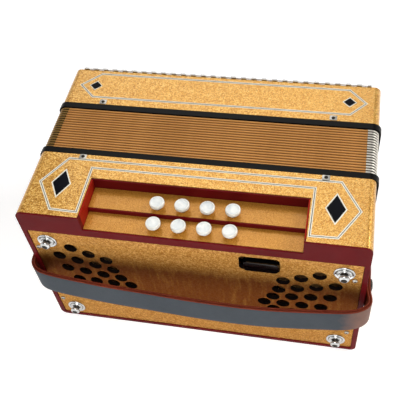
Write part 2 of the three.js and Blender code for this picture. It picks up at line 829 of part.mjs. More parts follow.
// Treble pallet board with its holes and the posts of the key axle.
function treblePalletBoard() {
  const face = trebleBoardY + boardThickness;
  const span = [trebleBoardY - overrun, face + overrun];
  let board = palletBoard(trebleBoardY);
  for (const { places, palletZ } of trebleRows) {
    for (const x of places) {
      board = board.subtract(palletHole(x, palletZ, treblePalletHalfWidth, treblePalletHalfHeight, span));
    }
  }
  const middlePost = trebleKeyPitch / 4;
  const posts = [
    [-treblePostX - axlePostThickness, -treblePostX],
    [middlePost - trebleMiddlePostThickness / 2, middlePost + trebleMiddlePostThickness / 2],
    [treblePostX, treblePostX + axlePostThickness],
  ];
  for (const ends of posts) board = board.add(axlePost(ends, face, [trebleAxleY, trebleAxleZ]));
  return board;
}

// Wooden block of reed chambers behind the treble pallet board.
function trebleReedBlock() {
  const face = trebleBoardY - fitGap;
  const chambers = [face - trebleReedDepth + reedChamberFloor, face + overrun];
  let body = block(
    [-trebleReedHalfLength, trebleReedHalfLength],
    [face - trebleReedDepth, face],
    [trebleAxleZ + trebleReedBottomRise, trebleAxleZ + trebleReedTopRise],
  );
  for (const { places, palletZ } of trebleRows) {
    for (const x of places) {
      const height = treblePalletHalfHeight - palletSeatLap;
      const chamber = block(
        [x - reedChamberHalfWidth, x + reedChamberHalfWidth],
        chambers,
        [palletZ - height, palletZ + height],
      );
      body = body.subtract(chamber);
    }
  }
  return body;
}

// A treble key in one piece: button, stem, cranked lever with its hub, and pallet.
function trebleKey(x, reach, palletZ) {
  const buttonY = trebleEndY + reach;
  const palletBackY = trebleBoardY + boardThickness + fitGap;
  const palletFrontY = palletBackY + palletThickness;
  const headZ = boardTopZ + trebleButtonTravel + trebleButtonRestGap;
  const crank = polygon([
    [palletFrontY - seatOverlap, trebleAxleZ - leverHalfDepth],
    [buttonY + trebleStemRadius, trebleAxleZ - leverHalfDepth],
    [buttonY + trebleStemRadius, trebleAxleZ + leverHalfDepth],
    [trebleAxleY + leverHalfDepth, trebleAxleZ + leverHalfDepth],
    [palletFrontY + leverArmDepth / 2, palletZ],
    [palletFrontY - seatOverlap, palletZ],
  ]);
  const pallet = block(
    [x - treblePalletHalfWidth, x + treblePalletHalfWidth],
    [palletBackY, palletFrontY],
    [palletZ - treblePalletHalfHeight, palletZ + treblePalletHalfHeight],
  );
  const inner = trebleButtonRadius - trebleButtonEdge;
  const head = solid(turned([
    [0, 0],
    [trebleButtonRadius, 0],
    [trebleButtonRadius, trebleButtonThickness - trebleButtonEdge],
    [inner, trebleButtonThickness],
    [0, trebleButtonThickness],
  ], 10)).translate([x, buttonY, headZ]);
  const centre = [trebleAxleY, trebleAxleZ];
  const boreEnds = [x - hubHalfWidth - overrun, x + hubHalfWidth + overrun];
  return alongX(crank, [x - leverHalfThickness, x + leverHalfThickness])
    .add(pallet)
    .add(bar('x', hubRadius, [x - hubHalfWidth, x + hubHalfWidth], centre, 6))
    .add(bar('z', trebleStemRadius, [trebleAxleZ, headZ + seatOverlap], [x, buttonY], 5))
    .add(head)
    .subtract(bar('x', axleRadius + fitGap, boreEnds, centre, 6));
}

// Hollow fingerboard, open towards the casing, with a hole for every stem.
function fingerboard() {
  const tipY = trebleEndY + boardReach;
  const outline = new THREE.Shape();
  outline.moveTo(trebleEndY, boardBackZ);
  outline.lineTo(tipY - boardTipRadius, boardTipBackZ);
  outline.quadraticCurveTo(tipY, boardTipBackZ, tipY, boardTipBackZ + boardTipRadius);
  outline.lineTo(tipY, boardTopZ - boardTipRadius);
  outline.quadraticCurveTo(tipY, boardTopZ, tipY - boardTipRadius, boardTopZ);
  outline.lineTo(trebleEndY, boardTopZ);
  const hollow = polygon([
    [trebleEndY - overrun, boardBackZ + boardPlate],
    [tipY - boardCheek, boardTipBackZ + boardPlate],
    [tipY - boardCheek, boardTopZ - boardPlate],
    [trebleEndY - overrun, boardTopZ - boardPlate],
  ]);
  const inside = boardHalfLength - boardCheek;
  let board = alongX(outline, [-boardHalfLength, boardHalfLength]).subtract(alongX(hollow, [-inside, inside]));
  const span = [boardTopZ - boardPlate - overrun, boardTopZ + overrun];
  for (const { places, reach } of trebleRows) {
    for (const x of places) {
      board = board.subtract(bar('z', trebleStemHoleRadius, span, [x, trebleEndY + reach], 8));
    }
  }
  return board;
}

// Half of the grille's section, outside or inside its sheet.
function grilleSection(inset) {
  const back = grilleBackZ + inset;
  const front = caseHeight + grilleFrontRise - inset;
  const crown = grilleCrownRadius - inset;
  const crest = trebleEndY + grilleBulge - inset;
  const start = trebleEndY - (inset ? overrun : 0);
  const section = new THREE.Shape();
  section.moveTo(start, back);
  section.quadraticCurveTo(crest, back, crest, grilleFootZ);
  section.lineTo(crest, grilleShoulderZ);
  section.lineTo(trebleEndY + crown, front - crown);
  section.absarc(trebleEndY, front - crown, crown, 0, Math.PI / 2);
  section.lineTo(start, front);
  return section;
}

// A pierced slot with pointed ends.
function slotOutline(x, [z0, z1]) {
  return polygon([
    [x, z0],
    [x + grilleSlotHalfWidth, z0 + grilleSlotPoint],
    [x + grilleSlotHalfWidth, z1 - grilleSlotPoint],
    [x, z1],
    [x - grilleSlotHalfWidth, z1 - grilleSlotPoint],
    [x - grilleSlotHalfWidth, z0 + grilleSlotPoint],
  ]);
}

// Sheet-metal grille: a bulged cover, pierced in columns, with a scalloped front edge.
function trebleGrille() {
  const inside = grilleHalfLength - grilleSheet;
  let grille = alongX(grilleSection(0), [-grilleHalfLength, grilleHalfLength], 1)
    .subtract(alongX(grilleSection(grilleSheet), [-inside, inside], 1));
  const front = caseHeight + grilleFrontRise;
  const height = front - grilleCrownRadius * 2 - grilleBackZ;
  const through = [trebleEndY + grilleEdgeMargin, trebleEndY + grilleBulge + overrun];
  const pitch = inside * 2 / grilleColumns;
  for (let column = 0; column < grilleColumns; column++) {
    const x = (column + 0.5) * pitch - inside;
    for (const [low, high] of grilleRowShares) {
      const span = [grilleBackZ + low * height, grilleBackZ + high * height];
      grille = grille.subtract(alongY(slotOutline(x, span), through));
    }
    grille = grille.subtract(block(
      [x - grilleSlotHalfWidth, x + grilleSlotHalfWidth],
      [trebleEndY + fitGap * 2, trebleEndY + grilleBulge + overrun],
      [front - grilleEdgeSlotDrop, front + overrun],
    ));
  }
  return grille;
}

// Finishes
const finishes = {
  glitter: { color: 0xdba354, roughness: 0.35, metalness: 0.3 },
  maroon: { color: 0x5f1e28, roughness: 0.4, metalness: 0 },
  leather: { color: 0x4c5c66, roughness: 0.55, metalness: 0 },
  chrome: { color: 0xd8d8d8, roughness: 0.15, metalness: 1 },
  pearl: { color: 0xf3f1ea, roughness: 0.25, metalness: 0 },
  black: { color: 0x161413, roughness: 0.45, metalness: 0 },
  cloth: { color: 0xa9753f, roughness: 0.8, metalness: 0 },
  wood: { color: 0xc9a06a, roughness: 0.7, metalness: 0 },
  metal: { color: 0xb9b6ae, roughness: 0.3, metalness: 1 },
};

const accordion = new THREE.Group();
accordion.name = 'diatonic_button_accordion';
accordion.position.y = -bassCaseDepth / 2;

// Adds a named piece, from a solid or a geometry, and returns its mesh.
function add(name, shape, finish) {
  const geometry = shape.isBufferGeometry ? shape : surface(shape);
  const mesh = new THREE.Mesh(geometry, new THREE.MeshStandardMaterial(finishes[finish]));
  mesh.name = name;
  accordion.add(mesh);
  return mesh;
}

add('bass_casing', bassCasing(), 'glitter');
add('bass_end_frame', bassEndFrame(), 'maroon');
add('bass_end_panel', bassEndPanel(), 'glitter');
add('bass_step_board', bassStepBoard(), 'glitter');
add('bass_pallet_board', bassPalletBoard(), 'wood');
const bassAxleSpan = [-bassAxleHalfLength, bassAxleHalfLength];
add('bass_axle', bar('x', axleRadius, bassAxleSpan, [bassAxleY, bassAxleZ], 8), 'metal');

bassButtonX.forEach((x, i) => {
  const number = i + 1;
  add(`bass_button_lower_${number}`, bassButton(x, bassRowLowerY, lowerStepZ), 'pearl');
  add(`bass_button_upper_${number}`, bassButton(x, bassRowUpperY, upperStepZ), 'pearl');
  add(`bass_lever_lower_${number}`, bassLever(x, bassRowLowerY, 1, bassPalletFarZ), 'metal');
  add(`bass_lever_upper_${number}`, bassLever(x, bassRowUpperY, -1, bassPalletNearZ), 'metal');
});
add('air_key', airKey(), 'black');

for (const [end, z] of [['front', footFrontZ], ['back', footBackZ]]) {
  for (const [hand, x] of [['left', -footX], ['right', footX]]) {
    add(`foot_${end}_${hand}`, foot(), 'chrome').position.set(x, panelInset, z);
  }
}
add('hand_strap', handStrap(), 'leather');
for (const [hand, side] of [['left', -1], ['right', 1]]) {
  const stud = add(`strap_stud_${hand}`, strapStud(), 'chrome');
  stud.rotation.y = side * Math.PI / 2;
  stud.position.set(side * halfLength, studY, strapMiddleZ);
}

add('bellows_frame_bass', bellowsFrame(bassFrameY, -1), 'black');
add('bellows_folds', bellowsFolds(), 'cloth');
add('bellows_frame_treble', bellowsFrame(trebleFrameY, 1), 'black');

add('treble_casing', trebleCasing(), 'glitter');
add('treble_pallet_board', treblePalletBoard(), 'wood');
add('treble_reed_block', trebleReedBlock(), 'wood');
const trebleAxleSpan = [-trebleAxleHalfLength, trebleAxleHalfLength];
add('treble_axle', bar('x', axleRadius, trebleAxleSpan, [trebleAxleY, trebleAxleZ], 8), 'metal');
add('fingerboard', fingerboard(), 'maroon');
add('treble_grille', trebleGrille(), 'metal');
for (const { name, places, reach, palletZ } of trebleRows) {
  places.forEach((x, i) => add(`treble_key_${name}_${i + 1}`, trebleKey(x, reach, palletZ), 'pearl'));
}

export default accordion;
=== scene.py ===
import math
import random

import bmesh
import bpy
from mathutils import Matrix, Vector


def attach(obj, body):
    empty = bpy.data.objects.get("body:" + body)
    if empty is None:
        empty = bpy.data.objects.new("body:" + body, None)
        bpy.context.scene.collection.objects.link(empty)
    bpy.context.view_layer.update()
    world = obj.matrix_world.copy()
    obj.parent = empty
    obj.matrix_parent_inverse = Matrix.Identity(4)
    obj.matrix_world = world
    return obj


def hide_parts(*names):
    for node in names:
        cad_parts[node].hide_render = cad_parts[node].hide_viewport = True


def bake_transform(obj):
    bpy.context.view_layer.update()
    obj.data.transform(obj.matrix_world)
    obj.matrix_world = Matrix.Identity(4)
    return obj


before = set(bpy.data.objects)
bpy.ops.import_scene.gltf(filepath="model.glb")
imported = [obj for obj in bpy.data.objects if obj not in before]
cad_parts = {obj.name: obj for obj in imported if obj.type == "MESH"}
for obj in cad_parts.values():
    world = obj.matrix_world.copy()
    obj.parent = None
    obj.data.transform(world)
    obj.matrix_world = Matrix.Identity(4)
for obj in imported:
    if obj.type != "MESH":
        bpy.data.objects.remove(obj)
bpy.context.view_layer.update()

# Gold glitter casings.
# Two wooden boxes covered in polished celluloid sheet with metal flake set in it.
# The sheet also covers the end panel and the stepped board under the bass buttons; the stepped board's copy is
# painted darker, as painted shade in the button recess.

MM = 0.001
BASS_END = -35.75
CASE_HALF = 150.0
CASE_FRONT = 173.0
TREBLE_END = 183.0


def at(x, y, z):
    """A point in millimetres, y counted from the bass end face, as metres in the row frame."""
    return Vector((x, y + BASS_END, z)) * MM


def colour(red, green, blue):
    """An sRGB colour of 0 to 255 as the linear colour that a shader takes."""
    shares = [value / 255 for value in (red, green, blue)]
    linear = [s / 12.92 if s <= 0.04045 else ((s + 0.055) / 1.055) ** 2.4 for s in shares]
    return (*linear, 1.0)


def add_node(tree, kind, inputs=None, **settings):
    """A shader node with its settings; an input takes a value or another node's output."""
    made = tree.nodes.new("ShaderNode" + kind)
    for name, value in settings.items():
        setattr(made, name, value)
    for socket, value in (inputs or {}).items():
        if isinstance(value, bpy.types.NodeSocket):
            tree.links.new(value, made.inputs[socket])
        else:
            made.inputs[socket].default_value = value
    return made


def effect_group(name, inputs, outputs):
    """An empty node group with named sockets, and its input and output nodes."""
    group = bpy.data.node_groups.new(name, "ShaderNodeTree")
    for socket, kind, value in inputs:
        group.interface.new_socket(socket, in_out="INPUT", socket_type=kind).default_value = value
    for socket, kind in outputs:
        group.interface.new_socket(socket, in_out="OUTPUT", socket_type=kind)
    return group, group.nodes.new("NodeGroupInput"), group.nodes.new("NodeGroupOutput")


def opened(material):
    """The tree and the shader of a material."""
    return material.node_tree, material.node_tree.nodes["Principled BSDF"]


def finish_material(name, settings):
    """A material with one Principled BSDF, its tree and its shader."""
    material = bpy.data.materials.new(name)
    material.use_nodes = True
    tree, shader = opened(material)
    for socket, value in settings.items():
        shader.inputs[socket].default_value = value
    return material, tree, shader


def ramp(tree, factor, stops):
    """A colour ramp through stops of place and colour."""
    made = add_node(tree, "ValToRGB", {"Fac": factor})
    elements = made.color_ramp.elements
    while len(elements) < len(stops):
        elements.new(0.5)
    for element, (place, value) in zip(elements, stops):
        element.position = place
        element.color = value
    return made.outputs["Color"]


def blend_colour(tree, factor, first, second):
    """Two colours mixed by a factor."""
    return add_node(tree, "Mix", {0: factor, 6: first, 7: second}, data_type="RGBA").outputs[2]


def reckon(tree, operation, *values, **settings):
    """The result of a sum on shader values."""
    return add_node(tree, "Math", dict(enumerate(values)), operation=operation, **settings).outputs[0]


def reckon_vector(tree, operation, *values):
    """The result of a sum on shader vectors."""
    made = add_node(tree, "VectorMath", dict(enumerate(values)), operation=operation)
    return made.outputs["Value" if operation == "LENGTH" else "Vector"]


def scale_value(tree, value, factor, shift=0.0):
    """A value times a factor plus a shift."""
    return reckon(tree, "MULTIPLY_ADD", value, factor, shift)


def spread_value(tree, value, low, high, start=0.0, end=1.0, **settings):
    """A value spread from one range over another, and held at its ends."""
    return add_node(tree, "MapRange", {0: value, 1: low, 2: high, 3: start, 4: end}, **settings).outputs[0]


def noise(tree, place, scale, detail=2.0, roughness=0.5, distortion=0.0):
    """A cloudy value from 0 to 1."""
    return add_node(tree, "TexNoise", {
        "Vector": place, "Scale": scale, "Detail": detail, "Roughness": roughness, "Distortion": distortion,
    }).outputs[0]


def surface_place(tree):
    """The place on the surface, in the row frame."""
    return add_node(tree, "TexCoord").outputs["Object"]


def feed(tree, node, values):
    """Links values to the named inputs of a node."""
    for socket, value in values.items():
        tree.links.new(value, node.inputs[socket])


def build_flakes():
    """Metal flakes set in clear sheet: each cell has its own tone, tilt and gloss."""
    group, given, out = effect_group(
        "metal_flakes",
        [("Fineness", "NodeSocketFloat", 900.0), ("Tilt", "NodeSocketFloat", 0.3)],
        [("Tone", "NodeSocketFloat"), ("Roughness", "NodeSocketFloat"), ("Normal", "NodeSocketVector")],
    )
    place, fineness = surface_place(group), given.outputs["Fineness"]
    finer = scale_value(group, fineness, 2.3)
    coarse, fine = (add_node(group, "TexVoronoi", {"Vector": place, "Scale": scale}).outputs["Color"]
                    for scale in (fineness, finer))
    coarse_tone = add_node(group, "SeparateColor", {0: coarse}).outputs[0]
    _, fine_tone, gloss = add_node(group, "SeparateColor", {0: fine}).outputs
    tone = scale_value(group, fine_tone, 0.3, scale_value(group, coarse_tone, 0.45, 0.12))
    tone = scale_value(group, noise(group, place, 420.0, 3.0), 0.2, tone)
    centred = reckon_vector(group, "SUBTRACT", coarse, (0.5, 0.5, 0.5))
    tilted = add_node(group, "VectorMath", {0: centred, "Scale": given.outputs["Tilt"]}, operation="SCALE")
    bent = reckon_vector(group, "ADD", add_node(group, "NewGeometry").outputs["Normal"], tilted.outputs[0])
    feed(group, out, {
        "Tone": tone,
        "Roughness": scale_value(group, gloss, 0.2, 0.2),
        "Normal": reckon_vector(group, "NORMALIZE", bent),
    })
    return group


def build_handling():
    """Wear of a polished surface: fine rubs and faint dust, as a mask from 0 to 1."""
    group, given, out = effect_group(
        "handling_wear",
        [("Scale", "NodeSocketFloat", 18.0), ("Amount", "NodeSocketFloat", 0.5)],
        [("Mask", "NodeSocketFloat")],
    )
    rubs = noise(group, surface_place(group), given.outputs["Scale"], 8.0, 0.7, 0.6)
    worn = spread_value(group, rubs, 0.45, 0.75)
    feed(group, out, {"Mask": reckon(group, "MULTIPLY", worn, given.outputs["Amount"])})
    return group


flakes = build_flakes()
handling = build_handling()


def wear_mask(tree, scale, amount):
    """Where handling has worn the finish, from 0 to 1."""
    return add_node(tree, "Group", {"Scale": scale, "Amount": amount}, node_tree=handling).outputs["Mask"]


WHITE = (1.0, 1.0, 1.0, 1.0)


def glitter_sheet(name, stops, metal, polish, fineness, tilt, dull=0.0, specular=0.3, glare=WHITE):
    """Glitter celluloid: metal flake under a clear polish."""
    material, tree, shader = finish_material(name, {
        "Metallic": metal, "Coat Roughness": 0.05, "Coat IOR": 1.4,
        "Specular IOR Level": specular, "Specular Tint": glare,
    })
    flake = add_node(tree, "Group", {"Fineness": fineness, "Tilt": tilt}, node_tree=flakes).outputs
    drift = scale_value(tree, noise(tree, surface_place(tree), 9.0), 0.3)
    feed(tree, shader, {
        "Base Color": blend_colour(tree, drift, ramp(tree, flake["Tone"], stops), stops[2][1]),
        "Roughness": scale_value(tree, flake["Roughness"], 1.0, dull),
        "Normal": flake["Normal"],
        "Coat Weight": scale_value(tree, wear_mask(tree, 18.0, 0.3), -polish, polish),
    })
    return material


def repaint(tree, shader, mask, tone):
    """Lays another colour over a material's own, as far as the mask says."""
    own = shader.inputs["Base Color"].links[0].from_socket
    feed(tree, shader, {"Base Color": blend_colour(tree, mask, own, tone)})


def strip_polish(tree, shader, mask):
    """Takes the polish off as far as the mask says, and gives the share that is left."""
    left = scale_value(tree, mask, -1.0, 1.0)
    polish = shader.inputs["Coat Weight"].links[0].from_socket
    feed(tree, shader, {"Coat Weight": reckon(tree, "MULTIPLY", polish, left)})
    return left


def kept_within(tree, mask, limits):
    """A mask kept only where each value is on its side of a limit."""
    for value, side, limit in limits:
        mask = reckon(tree, "MULTIPLY", mask, reckon(tree, side, value, limit))
    return mask


CASE_ROUND = 6.0
SKIN = 0.6


def bare_inside(material, from_y, to_y, top_z, wood):
    """Shows bare wood on the faces that lie deeper than the skin of the rounded casing."""
    tree, shader = opened(material)
    place = surface_place(tree)
    middle = Vector((0, 0, CASE_FRONT / 2 * MM))
    straight = Vector((CASE_HALF - CASE_ROUND, 0, CASE_FRONT / 2 - CASE_ROUND)) * MM
    offset = reckon_vector(tree, "ABSOLUTE", reckon_vector(tree, "SUBTRACT", place, middle))
    offset = reckon_vector(tree, "MAXIMUM", reckon_vector(tree, "SUBTRACT", offset, straight), (0, 0, 0))
    depth = reckon_vector(tree, "LENGTH", reckon_vector(tree, "MULTIPLY", offset, (1, 0, 1)))
    _, y, z = add_node(tree, "SeparateXYZ", {0: place}).outputs
    inside = kept_within(tree, reckon(tree, "LESS_THAN", depth, (CASE_ROUND - SKIN) * MM), (
        (y, "GREATER_THAN", at(0, from_y, 0).y),
        (y, "LESS_THAN", at(0, to_y, 0).y),
        (z, "LESS_THAN", top_z * MM),
    ))
    repaint(tree, shader, inside, wood)
    outside = strip_polish(tree, shader, inside)
    feed(tree, shader, {"Metallic": scale_value(tree, outside, shader.inputs["Metallic"].default_value)})


case_sheet = glitter_sheet("gold_glitter_sheet", [
    (0.2, colour(100, 56, 12)),
    (0.38, colour(174, 114, 38)),
    (0.62, colour(208, 152, 62)),
    (0.85, colour(242, 200, 118)),
], metal=0.5, polish=0.35, fineness=1100.0, tilt=0.12)
bare_inside(case_sheet, -SKIN, TREBLE_END - SKIN, CASE_FRONT, colour(88, 58, 34))
# A darker, duller copy of the gold sheet for the stepped board: painted shade in the button recess.
shaded_step_sheet = glitter_sheet("gold_step_sheet_shaded", [
    (0.2, colour(150, 92, 22)),
    (0.4, colour(181, 120, 39)),
    (0.62, colour(196, 135, 50)),
    (0.85, colour(209, 151, 67)),
], metal=0.25, polish=0.15, fineness=1500.0, tilt=0.1)


GENTLE_TURN = 28
CRISP_TURN = 35
SEAM_REACH = 0.01
FLAT_WITHIN = 0.6


def build_soft_shading():
    """Smooth shading on gentle edges, in place of the normals that the node came with."""
    group = bpy.data.node_groups.new("soft_shading", "GeometryNodeTree")
    group.interface.new_socket("Geometry", in_out="INPUT", socket_type="NodeSocketGeometry")
    group.interface.new_socket("Geometry", in_out="OUTPUT", socket_type="NodeSocketGeometry")
    given, out = group.nodes.new("NodeGroupInput"), group.nodes.new("NodeGroupOutput")
    plain = group.nodes.new("GeometryNodeSetMeshNormal")
    plain.inputs["Remove Custom"].default_value = True
    angle = group.nodes.new("GeometryNodeInputMeshEdgeAngle")
    gentle = group.nodes.new("FunctionNodeCompare")
    gentle.operation = "GREATER_THAN"
    gentle.inputs[1].default_value = math.radians(GENTLE_TURN)
    group.links.new(angle.outputs["Unsigned Angle"], gentle.inputs[0])
    group.links.new(gentle.outputs[0], plain.inputs["Edge Sharpness"])
    smooth = group.nodes.new("GeometryNodeSetShadeSmooth")
    group.links.new(given.outputs[0], smooth.inputs["Geometry"])
    group.links.new(smooth.outputs[0], plain.inputs["Mesh"])
    group.links.new(plain.outputs[0], out.inputs[0])
    return group


soft_shading = build_soft_shading()


def flat_shading(piece):
    """Keeps flat faces flat beside their eased edges."""
    piece.modifiers.new("flat_faces", "WEIGHTED_NORMAL").keep_sharp = True


def ease_edges(piece, width):
    """A small round on every crisp edge."""
    eased = piece.modifiers.new("eased_edges", "BEVEL")
    eased.width = width * MM
    eased.segments = 2
    eased.limit_method = "ANGLE"
    eased.angle_limit = math.radians(CRISP_TURN)


def finish_node(name, material, edge, whole=True):
    """Gives a CAD node its material, eased edges and soft shading; whole joins its coplanar faces first."""
    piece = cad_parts[name]
    piece.material_slots[0].link = "OBJECT"
    piece.material_slots[0].material = material
    weld = piece.modifiers.new("closed_seams", "WELD")
    weld.merge_threshold = SEAM_REACH * MM
    if whole:
        joined = piece.modifiers.new("whole_faces", "DECIMATE")
        joined.decimate_type = "DISSOLVE"
        joined.angle_limit = math.radians(FLAT_WITHIN)
    ease_edges(piece, edge)
    piece.modifiers.new("soft_shading", "NODES").node_group = soft_shading
    flat_shading(piece)


for case in ("bass_casing", "treble_casing"):
    finish_node(case, case_sheet, 0.35)
finish_node("bass_step_board", shaded_step_sheet, 0.25, whole=False)

# Bass end panel.
# A removable board covered in the same sheet, with two fans of drilled sound holes and the
# slot of the air key, held by small round-headed screws beside the feet.

PANEL_FRONT_Y = 0.8
PANEL_THICKNESS = 4.0
PANEL_HALF = 145.2
PANEL_Z = (4.3, 147.9)
PANEL_CORNER = 2.0
HOLE_RADIUS = 6.0
HOLE_SIDES = 36
FAN_CENTRE = (7.605, 70.6)
FAN_ROWS = ((-1.8, 0, 3), (-0.8, 0, 3), (0.2, 0, 3), (1.2, 0, 3), (2.2, 1, 4), (3.2, 1, 3))
FAN_STEP = 7.8
FAN_RADIUS = 70.65
FAN_PITCH = 16.905
FAN_STAGGER = 8.91
SLOT_X = (42.2, 77.2)
SLOT_Z = (123.2, 142.8)
SLOT_CORNER = 4.0
CUT_DEPTH = (-2, 8)


def make_piece(name, points, faces, materials, face_material=None):
    """A mesh object from points in metres; faces pick their material by index."""
    mesh = bpy.data.meshes.new(name)
    mesh.from_pydata([tuple(p) for p in points], [], faces)
    for material in materials if isinstance(materials, (list, tuple)) else [materials]:
        mesh.materials.append(material)
    if face_material:
        mesh.polygons.foreach_set("material_index", face_material)
    mesh.polygons.foreach_set("use_smooth", [True] * len(mesh.polygons))
    mesh.update()
    piece = bpy.data.objects.new(name, mesh)
    bpy.context.scene.collection.objects.link(piece)
    return piece


def outward(piece):
    """Turns all faces outwards."""
    shaped = bmesh.new()
    shaped.from_mesh(piece.data)
    bmesh.ops.recalc_face_normals(shaped, faces=shaped.faces)
    shaped.to_mesh(piece.data)
    shaped.free()
    return piece


def keep_edges(piece, degrees=30):
    """Keeps edges over this angle crisp in the shading."""
    piece.data.set_sharp_from_angle(angle=math.radians(degrees))
    return piece


def settle(piece):
    """Applies the piece's modifiers."""
    graph = bpy.context.evaluated_depsgraph_get()
    shaped = bpy.data.meshes.new_from_object(piece.evaluated_get(graph))
    piece.modifiers.clear()
    piece.data = shaped
    return piece


def quads_between(count, pairs):
    """Four-sided faces between pairs of rings of count points."""
    return [(a * count + i, a * count + (i + 1) % count, b * count + (i + 1) % count, b * count + i)
            for a, b in pairs for i in range(count)]


def prism(name, outline, low, high, axis, materials):
    """A solid drawn as an outline in two axes and drawn out along the third."""
    place = {"x": lambda u, v, w: at(w, u, v), "y": lambda u, v, w: at(u, w, v), "z": at}[axis]
    count = len(outline)
    points = [place(u, v, w) for w in (low, high) for u, v in outline]
    faces = [tuple(range(count)), tuple(range(2 * count - 1, count - 1, -1))] + quads_between(count, [(0, 1)])
    return outward(make_piece(name, points, faces, materials))


def carve(piece, cutters):
    """Cuts solids out of a piece and clears them away."""
    for cutter in cutters:
        cut = piece.modifiers.new("cut", "BOOLEAN")
        cut.operation = "DIFFERENCE"
        cut.solver = "EXACT"
        cut.material_mode = "TRANSFER"
        cut.object = cutter
    bpy.context.view_layer.update()
    settle(piece)
    for cutter in cutters:
        bpy.data.objects.remove(cutter)
    return piece


def rounded(u, v, radius, steps=8):
    """A rectangle from u[0], v[0] to u[1], v[1] with round corners."""
    corners = ((u[1] - radius, v[0] + radius, -90), (u[1] - radius, v[1] - radius, 0),
               (u[0] + radius, v[1] - radius, 90), (u[0] + radius, v[0] + radius, 180))
    outline = []
    for centre_u, centre_v, start in corners:
        for i in range(steps + 1):
            turn = math.radians(start + 90 * i / steps)
            outline.append((centre_u + radius * math.cos(turn), centre_v + radius * math.sin(turn)))
    return outline


def oblong(u, v, width, height):
    """A rectangle round a middle, as a list of points."""
    return [(u + a * width / 2, v + b * height / 2) for a, b in ((-1, -1), (1, -1), (1, 1), (-1, 1))]


def circle(u, v, radius, sides):
    """A circle as a list of points."""
    turns = [math.tau * i / sides for i in range(sides)]
    return [(u + radius * math.cos(t), v + radius * math.sin(t)) for t in turns]


def turned(name, profile, materials, centre, axis, sides, bands=None):
    """A turned piece from its half profile of radius and height along an axis, in millimetres."""
    along = Vector(axis).normalized()
    side = along.orthogonal().normalized()
    other = along.cross(side)
    points, rings, faces, paint = [], [], [], []
    for radius, height in profile:
        around = circle(0, 0, radius, sides if radius else 1)
        rings.append(range(len(points), len(points) + len(around)))
        points += [centre + (along * height + side * u + other * v) * MM for u, v in around]
    for band, pair in enumerate(zip(rings, rings[1:])):
        for i in range(sides):
            lower, upper = ([ring[k % len(ring)] for k in (i, (i + 1) % sides)] for ring in pair)
            face = list(dict.fromkeys(lower + upper[::-1]))
            if len(face) > 2:
                faces.append(face)
                paint.append(bands[band] if bands else 0)
    return outward(make_piece(name, points, faces, materials, paint))


def sound_holes():
    """Centres of the sound holes, one fan on each side of the panel."""
    centres = []
    for side in (-1, 1):
        for row, (step, first, last) in enumerate(FAN_ROWS):
            turn = math.radians(step * FAN_STEP)
            for place in range(first, last + 1):
                radius = FAN_RADIUS + (FAN_STAGGER if row % 2 else 0) + place * FAN_PITCH
                x = side * (radius * math.cos(turn) - FAN_CENTRE[0])
                centres.append((x, FAN_CENTRE[1] + radius * math.sin(turn)))
    return centres


panel_sheet = glitter_sheet("gold_panel_sheet", [
    (0.2, colour(112, 64, 20)),
    (0.38, colour(164, 108, 46)),
    (0.62, colour(186, 132, 64)),
    (0.85, colour(220, 172, 100)),
], metal=0.6, polish=0.1, fineness=900.0, tilt=0.14, dull=0.12, specular=0.05, glare=colour(226, 190, 150))
# Heights in millimetres where the painted strap shade fades in at its foot and fades out at its top.
STRAP_SHADE_FOOT = (46.0, 60.0)
STRAP_SHADE_TOP = (126.0, 99.0)


def painted_strap_shade(material, strap_shade_tone, strength):
    """Paints the strap's shadow and reflection as a darker colour in drawn-out streaks on the sheet behind the strap,
    and takes the polish off there.
    """
    tree, shader = opened(material)
    place = surface_place(tree)
    z = add_node(tree, "SeparateXYZ", {0: place}).outputs[2]
    below = spread_value(tree, z, *(edge * MM for edge in STRAP_SHADE_TOP), interpolation_type="SMOOTHSTEP")
    above = spread_value(tree, z, *(edge * MM for edge in STRAP_SHADE_FOOT))
    streaks = noise(tree, reckon_vector(tree, "MULTIPLY", place, (1, 1, 0.12)), 220.0, 5.0, 0.7)
    mask = reckon(tree, "MULTIPLY", below, scale_value(tree, streaks, 1.1, 0.45))
    mask = reckon(tree, "MULTIPLY", mask, above, use_clamp=True)
    repaint(tree, shader, scale_value(tree, mask, strength), strap_shade_tone)
    strip_polish(tree, shader, mask)


# Painted shadow and reflection of the strap: a dark brown band on the end panel behind and above the strap.
painted_strap_shade(panel_sheet, colour(88, 36, 4), 0.92)


def rubbed_finish(name, base, rubbed, roughness, dulling, wear, settings):
    """A plain finish that changes its colour and its gloss where it is rubbed."""
    material, tree, shader = finish_material(name, settings)
    worn = wear_mask(tree, *wear)
    feed(tree, shader, {
        "Base Color": blend_colour(tree, worn, base, rubbed),
        "Roughness": scale_value(tree, worn, dulling, roughness),
    })
    return material


# Near-black wood for the walls of the sound holes and the key slot: painted shade inside them.
hole_shade_wood = rubbed_finish("hole_shade_wood", colour(14, 6, 4), colour(36, 19, 13), 0.9, 0.0, (300.0, 0.5),
                             {"Specular IOR Level": 0.1})

panel = prism("end_panel", rounded((-PANEL_HALF, PANEL_HALF), PANEL_Z, PANEL_CORNER),
              PANEL_FRONT_Y, PANEL_FRONT_Y + PANEL_THICKNESS, "y", panel_sheet)
outlines = [circle(x, z, HOLE_RADIUS, HOLE_SIDES) for x, z in sound_holes()] + [rounded(SLOT_X, SLOT_Z, SLOT_CORNER)]
carve(panel, [prism("cutter", outline, *CUT_DEPTH, "y", hole_shade_wood) for outline in outlines])
ease_edges(panel, 0.35)
flat_shading(keep_edges(settle(panel), 40))
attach(panel, "bass_side")
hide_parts("bass_end_panel")

SCREW_PLACES = [(-141.5, 122.5), (-141.5, 31.0), (139.6, 124.5), (139.6, 33.0)]


